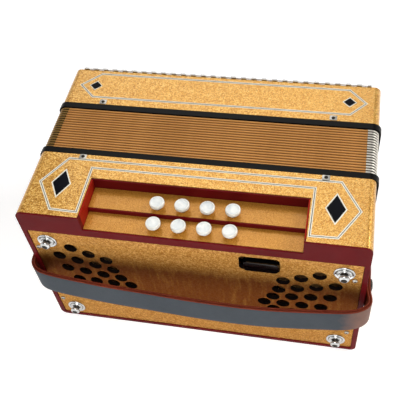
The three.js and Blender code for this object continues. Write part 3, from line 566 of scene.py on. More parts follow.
def build_polish_marks():
    """Fine directional polishing marks, as a height."""
    group, _, out = effect_group("polish_marks", [], [("Height", "NodeSocketFloat")])
    drawn = add_node(group, "Mapping", {"Vector": surface_place(group), "Scale": (0.15, 1.0, 1.0)}).outputs[0]
    feed(group, out, {"Height": noise(group, drawn, 900.0, 4.0)})
    return group


polish_marks = build_polish_marks()


def relief(tree, height, strength, distance):
    """A normal bent by a height over a distance in millimetres."""
    return add_node(tree, "Bump", {"Height": height, "Strength": strength, "Distance": distance * MM}).outputs[0]


def plated_metal(name, base, roughness, dirt=(90, 84, 76), depth=0.03):
    """Plated metal with fine marks, a little of it tarnished."""
    material = rubbed_finish(name, base, colour(*dirt), roughness, 0.3, (120.0, 0.35), {"Metallic": 1.0})
    tree, shader = opened(material)
    marks = add_node(tree, "Group", node_tree=polish_marks).outputs["Height"]
    feed(tree, shader, {"Normal": relief(tree, marks, depth, 0.1)})
    return material


dull_steel = plated_metal("plated_steel", colour(178, 174, 166), 0.32, depth=0.1)
# Dark tarnished steel for the studs, screw heads and bellows pin screws; the same dark colour is laid on the feet's
# grooves and knob tops and on the clips' sides as painted shade and painted dark reflection.
tarnish_and_shade = plated_metal("dark_tarnish_and_shade", colour(52, 48, 44), 0.3, (24, 22, 20), 0.1)

SCREW_PROFILE = [(0, 0), (2.3, 0), (2.3, 0.3), (2.1, 0.75), (1.6, 1.1), (0.9, 1.3), (0, 1.35)]
SCREW_BANDS = [0, 0, 0, 0, 0, 1]
KERF = (6.0, 0.56)
KERF_FROM = 0.8
KERF_TO = 3.0
for number, (x, z) in enumerate(SCREW_PLACES, 1):
    screw = turned(f"panel_screw_{number}", SCREW_PROFILE, [dull_steel, tarnish_and_shade], at(x, PANEL_FRONT_Y, z),
                   (0, -1, 0), 28, SCREW_BANDS)
    kerf = prism("kerf", oblong(x, z, *KERF), PANEL_FRONT_Y - KERF_TO, PANEL_FRONT_Y - KERF_FROM, "y", tarnish_and_shade)
    keep_edges(carve(screw, [kerf]))
    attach(screw, "bass_side")

# Dark red facing.
# Polished dark red celluloid on the rim of the bass end, on the walls of the button recess
# and on the riser between its two steps. The fingerboard is covered in the same sheet.


def clouded_sheet(name, deep, bright, polish, roughness):
    """Plain celluloid with a faint cloudiness and a worn polish."""
    material, tree, shader = finish_material(name, {
        "Coat Roughness": 0.08, "Coat IOR": 1.35, "Specular IOR Level": 0.03,
    })
    clouds = noise(tree, surface_place(tree), 22.0, 5.0, distortion=0.8)
    worn = wear_mask(tree, 40.0, 0.3)
    feed(tree, shader, {
        "Base Color": ramp(tree, clouds, [(0.3, deep), (0.7, bright)]),
        "Roughness": scale_value(tree, worn, 0.4, roughness),
        "Coat Weight": scale_value(tree, worn, -polish, polish),
    })
    return material


BARE_FROM = 0.9
BARE_TO = 60
BARE_TOP = 156.5
maroon = clouded_sheet("dark_red_sheet", colour(94, 11, 16), colour(114, 19, 22), 0.08, 0.35)
bare_inside(maroon, BARE_FROM, BARE_TO, BARE_TOP, colour(40, 26, 18))

RECESS_MIDDLE_X = 2.0
RECESS_HALF = 94.0
RECESS_Y = (4.7, 44.0)
RECESS_FLOOR = 150.0
LIT_WALL_SPAN = (-0.4, 2.0)


def painted_wall_light(material, sheet):
    """Paints the end walls of the button recess a brighter red than the facing: painted light falling on them from
    the side.
    """
    tree, shader = opened(material)
    x, y, z = add_node(tree, "SeparateXYZ", {0: surface_place(tree)}).outputs
    aside = reckon(tree, "ABSOLUTE", reckon(tree, "SUBTRACT", x, RECESS_MIDDLE_X * MM))
    lit_walls = kept_within(tree, reckon(tree, "GREATER_THAN", aside, (RECESS_HALF + LIT_WALL_SPAN[0]) * MM), (
        (aside, "LESS_THAN", (RECESS_HALF + LIT_WALL_SPAN[1]) * MM),
        (y, "GREATER_THAN", at(0, RECESS_Y[0], 0).y),
        (y, "LESS_THAN", at(0, RECESS_Y[1], 0).y),
        (z, "GREATER_THAN", RECESS_FLOOR * MM),
    ))
    repaint(tree, shader, lit_walls, sheet)


# Painted light: the recess end walls take a brighter red than the rest of the dark red facing.
painted_wall_light(maroon, colour(166, 36, 20))
finish_node("bass_end_frame", maroon, 0.3, whole=False)
finish_node("fingerboard", maroon, 0.5)

# Inlaid border lines and diamonds.
# Pairs of thin cream lines with a dark line between them, and black diamonds edged in cream,
# set flush in the front of both casings.

LINE_WIDTH = 0.9
LINE_GAP = 0.55
INLAY_PROUD = 0.07
INLAY_SUNK = 0.1
DIAMOND_PROUD = 0.1
HANDS = (("left", -1), ("right", 1))
BASS_BORDER = [(-120.5, 6.8), (-94.6, 6.2), (-94.9, 55.6), (98.9, 55.2), (98.4, 6.2), (122.6, 6.8),
               (139.8, 36), (122, 66.2), (-120.5, 66.8), (-139.3, 36.6)]
TREBLE_BORDER = [(-122, 144.2), (124, 144.0), (138.8, 160.5), (122.3, 178), (-120.8, 179), (-139, 160.8)]


def offset_loop(outline, distance):
    """A closed outline moved inwards by a distance, with mitred corners."""
    moved = []
    for i, here in enumerate(outline):
        before, here, after = Vector(outline[i - 1]), Vector(here), Vector(outline[(i + 1) % len(outline)])
        first, second = (here - before).normalized(), (after - here).normalized()
        left_first, left_second = Vector((-first.y, first.x)), Vector((-second.y, second.x))
        mitre = (left_first + left_second).normalized()
        moved.append(here + mitre * distance / mitre.dot(left_first))
    return moved


def inlay_line(name, outline, start, width, material, body):
    """A flat strip between two offsets of an outline on the front of a casing."""
    loops = offset_loop(outline, start), offset_loop(outline, start + width)
    heights = CASE_FRONT - INLAY_SUNK, CASE_FRONT + INLAY_PROUD
    points = [at(p.x, p.y, z) for z in heights for loop in loops for p in loop]
    faces = quads_between(len(outline), ((0, 1), (1, 3), (3, 2), (2, 0)))
    piece = keep_edges(outward(make_piece(name, points, faces, material)))
    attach(piece, body)
    return piece


def diamond_inlay(name, centre, width, height, material, proud, body):
    """A lozenge set in the front of a casing."""
    x, y = centre
    outline = [(x - width / 2, y), (x, y - height / 2), (x + width / 2, y), (x, y + height / 2)]
    piece = keep_edges(prism(name, outline, CASE_FRONT - INLAY_SUNK, CASE_FRONT + proud, "z", material))
    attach(piece, body)
    return piece


cream = clouded_sheet("cream_line", colour(236, 229, 208), colour(250, 246, 230), 0.2, 0.4)
line_black = clouded_sheet("black_inlay", colour(4, 5, 9), colour(10, 12, 20), 0.06, 0.3)

for label, border in (("bass", BASS_BORDER), ("treble", TREBLE_BORDER)):
    body = f"{label}_side"
    inlay_line(f"{label}_border_outer", border, 0, LINE_WIDTH, cream, body)
    inlay_line(f"{label}_border_middle", border, LINE_WIDTH, LINE_GAP, line_black, body)
    inlay_line(f"{label}_border_inner", border, LINE_WIDTH + LINE_GAP, LINE_WIDTH, cream, body)

for label, x, y, width, height, edge in (("bass", 118.6, 36.7, 15.6, 28.6, 2.6), ("treble", 122.3, 161, 11, 11, 2.4)):
    body = f"{label}_side"
    for hand, side in HANDS:
        place = (side * x, y)
        diamond_inlay(f"{label}_diamond_edge_{hand}", place, width + edge, height + edge * height / width,
                      cream, INLAY_PROUD, body)
        diamond_inlay(f"{label}_diamond_{hand}", place, width, height,
                      line_black, DIAMOND_PROUD, body)

# Bellows pins.
# Small nickelled plates, each with a round-headed screw, hold the casings to the black
# bellows frames.

PIN_PROFILE = [(0, 0), (1.68, 0), (1.68, 0.21), (1.52, 0.48), (1.04, 0.69), (0, 0.75)]
PIN_PLACES = (("bass", 108, 68.3, 1), ("treble", 109, 139.4, -1))
PLATE_HALF = (3.4, 2.9)
PLATE_CORNER = 0.9
PLATE_THICKNESS = 0.5
PLATE_SUNK = 0.05
PIN_OFFSET = 0.4


def bellows_pin(name, x, y, toward, body):
    """A small plate with a screw, at the edge of a casing's front."""
    outline = rounded(*((c - half, c + half) for c, half in zip((x, y), PLATE_HALF)), PLATE_CORNER, 4)
    plate = prism(name, outline, CASE_FRONT - PLATE_SUNK, CASE_FRONT + PLATE_THICKNESS, "z", dull_steel)
    ease_edges(plate, 0.15)
    keep_edges(settle(plate), 40)
    centre = at(x, y + toward * PIN_OFFSET, CASE_FRONT + PLATE_THICKNESS)
    head = turned(name + "_screw", PIN_PROFILE, tarnish_and_shade, centre, (0, 0, 1), 24)
    for piece in (plate, keep_edges(head, 50)):
        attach(piece, body)


for hand, side in HANDS:
    for label, x, y, toward in PIN_PLACES:
        bellows_pin(f"{label}_pin_{hand}", side * x, y, toward, f"{label}_side")

# Feet on the bass end.
# Turned and chromed: a rippled rosette with a domed knob, screwed to the panel.

FOOT_X = 130.3
FOOT_PLACES = {"front_left": (-FOOT_X, 133.9), "front_right": (FOOT_X, 133.9),
               "back_left": (-FOOT_X, 17.1), "back_right": (FOOT_X, 17.1)}
FOOT_PROFILE = [
    (0, 0), (9, 0), (9, 0.45), (8.8, 0.95), (8.35, 1.2), (7.8, 1.1), (7.2, 0.8), (6.7, 0.5), (6.35, 0.5),
    (6.1, 1.2), (5.75, 1.75), (5.35, 1.9), (4.9, 1.6), (4.5, 1.0), (4.1, 0.9), (3.7, 1.4), (3.1, 2.6), (2.9, 3.2),
    (3.1, 3.7), (3.8, 4.2), (4.4, 4.8), (4.6, 5.4), (4.5, 6.1), (4.1, 6.7), (3.4, 7.2), (2.6, 7.45),
    (2.0, 7.3), (1.6, 6.9), (0, 6.8),
]
# Dark bands on the rosette's groove, the knob's neck and the top of the knob: painted dark reflection and painted
# shade in the grooves.
FOOT_SHADE_BANDS = "0000000100000001100000000111"
chrome = plated_metal("bright_chrome", colour(196, 196, 194), 0.1, (110, 104, 96), 0.01)
for place, (x, z) in FOOT_PLACES.items():
    foot = turned(f"foot_rosette_{place}", FOOT_PROFILE, [chrome, tarnish_and_shade], at(x, PANEL_FRONT_Y, z), (0, -1, 0), 72,
                  [int(dark) for dark in FOOT_SHADE_BANDS])
    keep_edges(foot, 60)
    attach(foot, "bass_side")
    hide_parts(f"foot_{place}")

# Bass buttons.
# Round buttons of pearl celluloid with a shallow dish, on steel rods that reach the levers.

BUTTON_PITCH = 21.8
BASS_BUTTON_X = [RECESS_MIDDLE_X + (i - 1.5) * BUTTON_PITCH for i in range(4)]
BASS_ROWS = {"lower": (10.252, 157.2), "upper": (28.45, 162.0)}
BASS_LIFT = 4.6
BASS_BUTTON_PROFILE = [
    (0, 0), (5.5, 0), (6.1, 0.2), (6.45, 0.7), (6.5, 1.2), (6.5, 2.5), (6.4, 3.05), (6.1, 3.45), (5.7, 3.65),
    (5.3, 3.66), (4.9, 3.5), (4.5, 3.3), (3.9, 3.2), (2.5, 3.16), (0, 3.15),
]
ROD_FOOT = 68.3
ROD_RADIUS = 1.6
ROD_SUNK = 0.1


def pearl_sheet(name, deep, bright):
    """Pearl celluloid: soft drifting layers under a polish."""
    material, tree, shader = finish_material(name, {
        "Roughness": 0.25, "Coat Weight": 0.6, "Coat Roughness": 0.05, "Specular IOR Level": 0.3,
    })
    drift = noise(tree, surface_place(tree), 70.0, 3.0, distortion=1.8)
    layers = ramp(tree, drift, [(0.32, deep), (0.5, bright), (0.64, colour(246, 246, 240))])
    feed(tree, shader, {"Base Color": layers})
    return material


# Two copies of one pearl for the bass buttons: a warmer, lighter one for the rim and a cooler, darker one for the
# dish, as painted light on the rim and painted shade in the dish.
pearl_dish_shade = pearl_sheet("white_pearl_dish_shade", colour(214, 218, 218), colour(232, 234, 230))
pearl_rim = pearl_sheet("white_pearl_rim", colour(234, 230, 216), colour(246, 242, 230))
RIM_BANDS = 9


def join_pieces(name, pieces):
    """Makes several meshes one piece, with their materials kept."""
    bpy.ops.object.select_all(action="DESELECT")
    for piece in pieces:
        piece.select_set(True)
    bpy.context.view_layer.objects.active = pieces[0]
    bpy.ops.object.join()
    joined = bpy.context.view_layer.objects.active
    joined.name = joined.data.name = name
    joined.select_set(False)
    return joined


for row, (y, step_z) in BASS_ROWS.items():
    for number, x in enumerate(BASS_BUTTON_X, 1):
        head_z = step_z + BASS_LIFT
        bands = [int(band >= RIM_BANDS) for band in range(len(BASS_BUTTON_PROFILE) - 1)]
        head = turned("head", BASS_BUTTON_PROFILE, [pearl_rim, pearl_dish_shade], at(x, y, head_z), (0, 0, 1), 56, bands)
        rod = turned("rod", [(0, 0), (ROD_RADIUS, 0), (ROD_RADIUS, head_z - ROD_FOOT + ROD_SUNK)], dull_steel,
                     at(x, y, ROD_FOOT), (0, 0, 1), 20)
        button = join_pieces(f"bass_key_{row}_{number}", [keep_edges(head, 60), keep_edges(rod, 50)])
        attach(button, f"bass_button_{row}_{number}")
        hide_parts(f"bass_button_{row}_{number}")

# Mechanism inside the casings.
# Bare wooden boards, steel axles and the steel levers under the bass buttons, which nobody
# polishes because they are out of sight.


def planed_wood(name, deep, bright):
    """Bare planed wood with its grain along the casing."""
    material, tree, shader = finish_material(name, {"Specular IOR Level": 0.3})
    along = add_node(tree, "Mapping", {"Vector": surface_place(tree), "Scale": (0.07, 1.0, 1.0)}).outputs[0]
    grain = noise(tree, along, 420.0, 6.0, distortion=0.4)
    mixed = scale_value(tree, grain, 0.5, scale_value(tree, noise(tree, along, 70.0), 0.5))
    feed(tree, shader, {
        "Base Color": ramp(tree, mixed, [(0.35, deep), (0.65, bright)]),
        "Roughness": scale_value(tree, grain, 0.3, 0.45),
        "Normal": relief(tree, grain, 0.25, 0.2),
    })
    return material


bare_wood = planed_wood("planed_spruce", colour(150, 104, 60), colour(206, 164, 108))
for board in ("bass_pallet_board", "treble_pallet_board", "treble_reed_block"):
    finish_node(board, bare_wood, 0.4)
for part in ("bass_axle", "treble_axle"):
    finish_node(part, dull_steel, 0.2)
for row in BASS_ROWS:
    for number in range(1, 5):
        finish_node(f"bass_lever_{row}_{number}", dull_steel, 0.25)

# Air key.
# A thumb key of hard black gloss with fine handling marks. It stands in its slot in the
# panel and lets air in without a note.

key_black = rubbed_finish("black_key", colour(4, 4, 5), colour(20, 19, 18), 0.1, 0.35, (60.0, 0.3), {
    "Coat Weight": 0.35, "Coat Roughness": 0.04, "Specular IOR Level": 0.1,
})
finish_node("air_key", key_black, 0.9)

# Hand strap.
# A leather band with a blue-grey face and red-brown edges and back, bowed out from the
# bass end for the hand and held by a stud on each side of the casing.

STRAP_MIDDLE_Z = 88.0
STRAP_WIDTH = 30.0
STRAP_THICKNESS = 3.8
STRAP_REACH = 155.2
STRAP_BULGE = 23.7
STRAP_TAIL_Y = 33.0
STUD_Y = 20.0
STRAP_BOW = [(-0.981, 0.17), (-0.974, -0.169), (-0.95, -0.388), (-0.905, -0.549), (-0.585, -0.789),
             (-0.276, -0.903), (0.071, -1), (0.405, -1), (0.731, -0.84), (0.907, -0.675),
             (0.97, -0.46), (0.995, -0.203), (0.987, 0.19)]
STRAP_STEPS = 220
STRAP_GAP = 0.3
TAIL_STEPS = 12
STRAP_EDGE = 0.8
CROWN = 0.1
PLY_GAP = 0.35
GAP_DEPTH = 0.5


def distances(points):
    """How far along a line each of its points lies."""
    travelled = [0.0]
    for before, after in zip(points, points[1:]):
        travelled.append(travelled[-1] + (after - before).length)
    return travelled


CURVE_STEPS = 40
CURVE_LEVELS = (((0, 1), (1, 2), (2, 3)), ((0, 2), (1, 3)), ((1, 2),))


def smooth_curve(knots, steps):
    """Evenly spaced points on a centripetal Catmull-Rom curve through the knots."""
    ends = [knots[0] * 2 - knots[1]] + knots + [knots[-1] * 2 - knots[-2]]
    dense = []
    for near in zip(ends, ends[1:], ends[2:], ends[3:]):
        when = [0.0]
        for before, after in zip(near, near[1:]):
            when.append(when[-1] + math.sqrt((after - before).length))
        for i in range(CURVE_STEPS):
            t = when[1] + (when[2] - when[1]) * i / CURVE_STEPS
            points = near
            for level in CURVE_LEVELS:
                points = [p * ((when[n] - t) / (when[n] - when[m])) + q * ((t - when[m]) / (when[n] - when[m]))
                          for (m, n), p, q in zip(level, points, points[1:])]
            dense.append(points[0])
    dense.append(knots[-1])
    lengths = distances(dense)
    even, index = [], 0
    for i in range(steps + 1):
        wanted = lengths[-1] * i / steps
        while index < len(lengths) - 2 and lengths[index + 1] < wanted:
            index += 1
        span = max(lengths[index + 1] - lengths[index], 1e-9)
        even.append(dense[index].lerp(dense[index + 1], min((wanted - lengths[index]) / span, 1)))
    return even


def strap_line():
    """The strap's middle line from tail to tail, seen from the front, in millimetres."""
    tail_x = CASE_HALF + STRAP_GAP + STRAP_THICKNESS / 2
    bow = [Vector((x * STRAP_REACH, out * STRAP_BULGE)) for x, out in STRAP_BOW]
    knots = [Vector((-tail_x, STUD_Y / 2))] + bow + [Vector((tail_x, STUD_Y / 2))]
    tail = [STRAP_TAIL_Y + (STUD_Y / 2 - STRAP_TAIL_Y) * i / TAIL_STEPS for i in range(TAIL_STEPS)]
    left = [Vector((-tail_x, y)) for y in tail]
    right = [Vector((tail_x, y)) for y in reversed(tail)]
    return left + smooth_curve(knots, STRAP_STEPS) + right


def strap_section():
    """Points round a section of two plies: thickness outwards, place across, and 1 off the face."""
    half, width = STRAP_THICKNESS / 2 - CROWN, STRAP_WIDTH / 2
    straight = width - STRAP_EDGE
    ply = (half - PLY_GAP / 2) / 2
    section = []
    for side in (1, -1):
        section += [(side * half, side * (i / 4 - 1) * straight, int(side < 0)) for i in range(9)]
        for middle in (half - ply, ply - half):
            for i in range(1, 6):
                turn = math.radians(90 - 180 * i / 6)
                section.append((side * (middle + ply * math.sin(turn)),
                                side * (straight + STRAP_EDGE * math.cos(turn)), 1))
            if middle > 0:
                section += [(out * side * PLY_GAP / 2, side * (straight - GAP_DEPTH), 1) for out in (1, -1)]
    return section


def worn_leather(name, deep, bright, scuff, roughness, grain_depth):
    """Leather with a fine grain, drifting colour and scuffs."""
    material, tree, shader = finish_material(name, {"Specular IOR Level": 0.2})
    place = add_node(tree, "UVMap").outputs[0]
    tone = ramp(tree, noise(tree, place, 14.0, 5.0, 0.6), [(0.3, deep), (0.7, bright)])
    rubbed = noise(tree, place, 55.0, 8.0, 0.75)
    grain = add_node(tree, "TexVoronoi", {"Vector": place, "Scale": 1500.0}, feature="DISTANCE_TO_EDGE").outputs[0]
    height = scale_value(tree, noise(tree, place, 900.0, 3.0), 0.5, grain)
    feed(tree, shader, {
        "Base Color": blend_colour(tree, spread_value(tree, rubbed, 0.58, 0.75, 0.0, 0.6), tone, scuff),
        "Roughness": scale_value(tree, rubbed, 0.35, roughness),
        "Normal": relief(tree, height, grain_depth, 0.15),
    })
    return material


strap_face = worn_leather("blue_grey_leather", colour(45, 52, 59), colour(58, 65, 72), colour(84, 83, 80), 0.4, 0.35)
strap_back = worn_leather("red_brown_leather", colour(92, 30, 14), colour(128, 50, 24), colour(150, 80, 48), 0.4, 0.5)
BEND_X = (126.0, 160.0)
BEND_Y = (2.0, 16.0)


def worn_and_lit_bend(material, leather):
    """Lays a lighter red-brown on the face of the strap towards the right bend: partly worn leather, partly painted
    light from the lamp on the right.
    """
    tree, shader = opened(material)
    place = surface_place(tree)
    x, y, _ = add_node(tree, "SeparateXYZ", {0: place}).outputs
    toward = spread_value(tree, x, *(edge * MM for edge in BEND_X), -0.75, 1.1)
    worn = reckon(tree, "ADD", noise(tree, place, 90.0, 5.0, 0.65), toward, use_clamp=True)
    tail = spread_value(tree, y, *(at(0, edge, 0).y for edge in BEND_Y), 1.0, 0.15)
    repaint(tree, shader, reckon(tree, "MULTIPLY", worn, tail), leather)


# Partly wear, partly painted light: the strap's face turns lighter red-brown towards its right bend.
worn_and_lit_bend(strap_face, colour(128, 92, 78))


def write_uv(piece, uv_of_point):
    """Stores one UV per point, in metres."""
    layer = piece.data.uv_layers.new(name="UVMap")
    for loop in piece.data.loops:
        layer.data[loop.index].uv = uv_of_point[loop.vertex_index]


TIP_STEPS = 10
SAG = ((0.35, 7), (0.2, 17))


def build_strap():
    """The band swept along its line, with its face and back in two leathers."""
    line, section = strap_line(), strap_section()
    travelled = distances(line)
    points, uv = [], []
    rng = random.Random(4)
    waves = [(depth, count, rng.uniform(0, math.tau)) for depth, count in SAG]
    last, count = len(line) - 1, len(section)
    for i, here in enumerate(line):
        along = (line[min(i + 1, last)] - line[max(i - 1, 0)]).normalized()
        outside = Vector((along.y, -along.x))
        share = i / last
        bow = math.sin(math.pi * share) ** 0.5
        sag = bow * sum(depth * math.sin(waving * share + shift) for depth, waving, shift in waves)
        closing = max(TIP_STEPS - min(i, last - i), 0) / (TIP_STEPS + 1)
        tip = 0.5 + 0.5 * math.sqrt(1 - closing ** 2)
        for out, across, _ in section:
            flat = here + outside * (out - CROWN * bow * (1 - (across / (STRAP_WIDTH / 2)) ** 2))
            points.append(at(flat.x, flat.y, STRAP_MIDDLE_Z + across * tip + sag))
            uv.append((travelled[i] * MM, across * MM))
    faces, paint = [], []
    for i in range(last):
        for j in range(count):
            k = (j + 1) % count
            faces.append((i * count + j, (i + 1) * count + j, (i + 1) * count + k, i * count + k))
            paint.append(int(section[j][2] or section[k][2]))
    faces.append(tuple(range(count)))
    faces.append(tuple(last * count + j for j in reversed(range(count))))
    paint += [1, 1]
    strap = make_piece("leather_hand_strap", points, faces, [strap_face, strap_back], paint)
    write_uv(strap, uv)
    return keep_edges(outward(strap), 60)


strap = build_strap()
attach(strap, "bass_side")
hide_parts("hand_strap")

STUD_PROFILE = [
    (0, 0), (2.9, 0), (2.9, 4.4), (6.2, 4.4), (6.5, 4.65), (6.45, 5.2), (6.0, 5.8), (5.2, 6.2), (4.6, 6.15),
    (4.2, 6.3), (3.4, 6.7), (2.2, 6.9), (0, 6.98),
]
for hand, side in HANDS:
    foot = at(side * CASE_HALF, STUD_Y, STRAP_MIDDLE_Z)
    stud = turned(f"stud_{hand}", STUD_PROFILE, tarnish_and_shade, foot, (side, 0, 0), 56)
    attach(keep_edges(stud, 50), "bass_side")
    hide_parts(f"strap_stud_{hand}")

# Bellows frames.
# Wooden frames glued to the ends of the bellows, rounded at the corners, in satin black
# lacquer that is rubbed in places.

frame_black = rubbed_finish("black_lacquer", colour(6, 5, 4), colour(20, 14, 11), 0.32, 0.3, (90.0, 0.45), {
    "Coat Weight": 0.04, "Coat Roughness": 0.2, "Specular IOR Level": 0.06,
})
for end in ("bass", "treble"):
    finish_node(f"bellows_frame_{end}", frame_black, 1.0)

# Bellows folds.
# Seventeen folds of card covered in tan cloth. Each fold's edge is a rounded cloth strip
# with a bent metal clip round every corner, and the sides between the edges spread open.

FOLD_COUNT = 17
FOLDS_FROM = 78.0
FOLDS_TO = 129.5
FOLD_PITCH = (FOLDS_TO - FOLDS_FROM) / FOLD_COUNT
FOLD_INSET = 0.4
FOLD_HALF = 150.3
FOLD_CORNER = 7.0
FOLD_DEPTH = 12.0
EDGE_HALF = 1.05
CLIP_FROM = 140.2
CLIP_TAIL = 4.0
CLIP_SUNK = 0.05
CLIP_FACE = range(2, 6)
CLIP_SECTION = [
    (-1.06, 2.6), (-1.06, 0.95), (-0.92, 0.5), (-0.55, 0.12), (0, 0), (0.55, 0.12), (0.92, 0.5), (1.06, 0.95),
    (1.06, 2.6), (0.86, 2.6), (0.86, 1.1), (-0.86, 1.1), (-0.86, 2.6),
]
EDGE_PROFILE = [(-EDGE_HALF, 2.2), (-EDGE_HALF, 1.1), (-0.85, 0.72), (-0.5, 0.5), (0, 0.42), (0.5, 0.5),
                (0.85, 0.72), (EDGE_HALF, 1.1), (EDGE_HALF, 2.2)]
SIDE_RINGS = ((0, FOLD_DEPTH, 3.0), (0.5, FOLD_DEPTH * 0.55, 5.0), (1, 1.2, FOLD_CORNER))
LONG_SIDE = 60
LONG_STEPS = 10


def fold_ring(inset, radius):
    """Points round the bellows in X and Z, with more of them on the long sides."""
    low_x, high_x = inset - FOLD_HALF, FOLD_HALF - inset
    low_z, high_z = FOLD_INSET + inset, CASE_FRONT - FOLD_INSET - inset
    corners = rounded((low_x, high_x), (low_z, high_z), radius, 6)
    ring = []
    for i, here in enumerate(corners):
        after = Vector(corners[(i + 1) % len(corners)])
        here = Vector(here)
        pieces = LONG_STEPS if (after - here).length > LONG_SIDE else 1
        ring += [here.lerp(after, k / pieces) for k in range(pieces)]
    return ring


def pleated_surface(name, rings, material, closed=False):
    """A surface through rings of Y and outline; closed joins the last ring to the first."""
    count = len(rings[0][1])
    points = [at(p.x, y, p.y) for y, ring in rings for p in ring]
    pairs = [(r, r + 1) for r in range(len(rings) - 1)] + ([(len(rings) - 1, 0)] if closed else [])
    piece = make_piece(name, points, quads_between(count, pairs), material)
    around = distances(rings[0][1])
    across = distances([Vector((ring[0].x, y, ring[0].y)) for y, ring in rings])
    write_uv(piece, [(u * MM, v * MM) for v in across for u in around])
    return piece


def woven_cloth(name, deep, bright, line):
    """Tan bookbinder's cloth: a fine weave, with darker dust drifts."""
    material, tree, shader = finish_material(name, {"Roughness": 0.75, "Sheen Weight": 0.15, "Sheen Roughness": 0.5})
    place = add_node(tree, "UVMap").outputs[0]
    weft, warp = (add_node(tree, "TexWave", {"Vector": place, "Scale": 480.0, "Distortion": 0.6},
                           bands_direction=direction).outputs[1] for direction in "XY")
    weave = reckon(tree, "MULTIPLY", weft, warp)
    tone = ramp(tree, noise(tree, place, 30.0, 6.0, 0.7), [(0.3, deep), (0.7, bright)])
    feed(tree, shader, {
        "Base Color": blend_colour(tree, scale_value(tree, weave, 0.35), tone, line),
        "Normal": relief(tree, weave, 0.3, 0.1),
    })
    return material


edge_cloth = woven_cloth("tan_edge_cloth", colour(192, 128, 52), colour(216, 150, 72), colour(226, 168, 92))
side_cloth = woven_cloth("brown_fold_cloth", colour(116, 64, 22), colour(144, 86, 34), colour(154, 96, 42))
# The clips on the left side take a darker, warmer metal than the clips on the right.
corner_metals = {1: plated_metal("corner_nickel", colour(214, 208, 196), 0.28, (146, 136, 120)),
                 -1: plated_metal("left_corner_metal", colour(146, 112, 60), 0.35, (84, 60, 30), 0.08)}


def share_place(weight):
    """Where on a smooth step from 0 to 1 the step reaches a weight."""
    return 0.5 - math.sin(math.asin(1 - 2 * weight) / 3)


def open_evenly(piece, from_y, to_y, from_weight, to_weight):
    """Bakes the piece's placement into its mesh; the shares of the opening are worked out, but the piece does not
    follow the bellows ends.
    """
    low, high = share_place(from_weight), share_place(to_weight)
    if high - low < 1e-9:
        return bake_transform(piece)
    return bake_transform(piece)


def corner_clip(middle_y, side_x, side_z):
    """A bent strip of U section round one corner of a fold's edge."""
    top = CASE_FRONT - FOLD_INSET
    centre_x, centre_z = FOLD_HALF - FOLD_CORNER, top - FOLD_CORNER
    path = [(CLIP_FROM, top, 0, 1)]
    for i in range(11):
        turn = math.radians(90 - 90 * i / 10)
        path.append((centre_x + FOLD_CORNER * math.cos(turn), centre_z + FOLD_CORNER * math.sin(turn),
                     math.cos(turn), math.sin(turn)))
    path.append((FOLD_HALF, centre_z - CLIP_TAIL, 1, 0))
    points = []
    for x, z, out_x, out_z in path:
        for y, depth in CLIP_SECTION:
            inward = CLIP_SUNK + depth
            clip_z = z - out_z * inward
            if side_z < 0:
                clip_z = CASE_FRONT - clip_z
            points.append(at(side_x * (x - out_x * inward), middle_y + y, clip_z))
    count, last = len(CLIP_SECTION), len(path) - 1
    faces = quads_between(count, [(i, i + 1) for i in range(last)])
    faces += [tuple(range(count)), tuple(last * count + j for j in range(count))]
    # The clip's sides, underside and ends take the dark tarnished colour: painted shade for the dark gaps between the
    # clips.
    paint = [int(j not in CLIP_FACE) for _ in range(last) for j in range(count)] + [1, 1]
    return keep_edges(outward(make_piece("clip", points, faces, [corner_metals[side_x], tarnish_and_shade], paint)), 50)


for fold in range(FOLD_COUNT):
    number = f"{fold + 1:02d}"
    start_y = FOLDS_FROM + fold * FOLD_PITCH
    middle_y = start_y + FOLD_PITCH / 2
    near, middle, far = (place / FOLD_COUNT for place in (fold, fold + 0.5, fold + 1))
    rings = [(middle_y + y, fold_ring(inset, FOLD_CORNER)) for y, inset in EDGE_PROFILE]
    edge = keep_edges(pleated_surface(f"bellows_edge_{number}", rings, edge_cloth, closed=True), 80)
    clips = [corner_clip(middle_y, side_x, side_z) for side_x in (-1, 1) for side_z in (-1, 1)]
    edge = join_pieces(f"bellows_edge_{number}", [edge] + clips)
    open_evenly(edge, 0, 0, middle, middle)
    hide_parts("bellows_folds")
    for label, valley_y, ridge_y, shares in (("near", start_y, middle_y - EDGE_HALF, (near, middle)),
                                             ("far", start_y + FOLD_PITCH, middle_y + EDGE_HALF, (middle, far))):
        rings = [(valley_y * (1 - share) + ridge_y * share, fold_ring(inset, corner))
                 for share, inset, corner in SIDE_RINGS]
        side = keep_edges(pleated_surface(f"bellows_side_{label}_{number}", rings, side_cloth), 60)
        open_evenly(side, *sorted((valley_y, ridge_y)), *shares)

# Treble keys.
# Pearl buttons on bent steel levers. Each lever turns on the axle inside the casing and
# lifts a leather-faced wooden pallet off the board.

TREBLE_AXLE = (165.0, 80.0)
TREBLE_BUTTON_Z = 96.3
KEY_PITCH = 18.0
PALLET_BACK = 156.3
PALLET_THICKNESS = 3.7
PALLET_HALF = (6.5, 10.0)
FACING_THICKNESS = 1.2
PALLET_CORNER = 0.8
LEVER_HALF = (1.25, 2.0)
LEVER_TOE = 2.35
LEVER_SUNK = 1
STEM_RADIUS = 2
TREBLE_ROWS = {"inner": (10, 21.0, 114.0), "outer": (11, 41.0, 140.0)}
TREBLE_BUTTON_PROFILE = [
    (0, 0), (5.9, 0), (6.3, 0.25), (6.5, 0.7), (6.5, 3.6), (6.4, 4.2), (6.1, 4.6), (5.6, 4.85), (4.8, 4.95),
    (3.0, 5.0), (0, 5.0),
]
HUB_PROFILE = [(0, -2.4), (4, -2.4), (4, 2.4), (0, 2.4)]


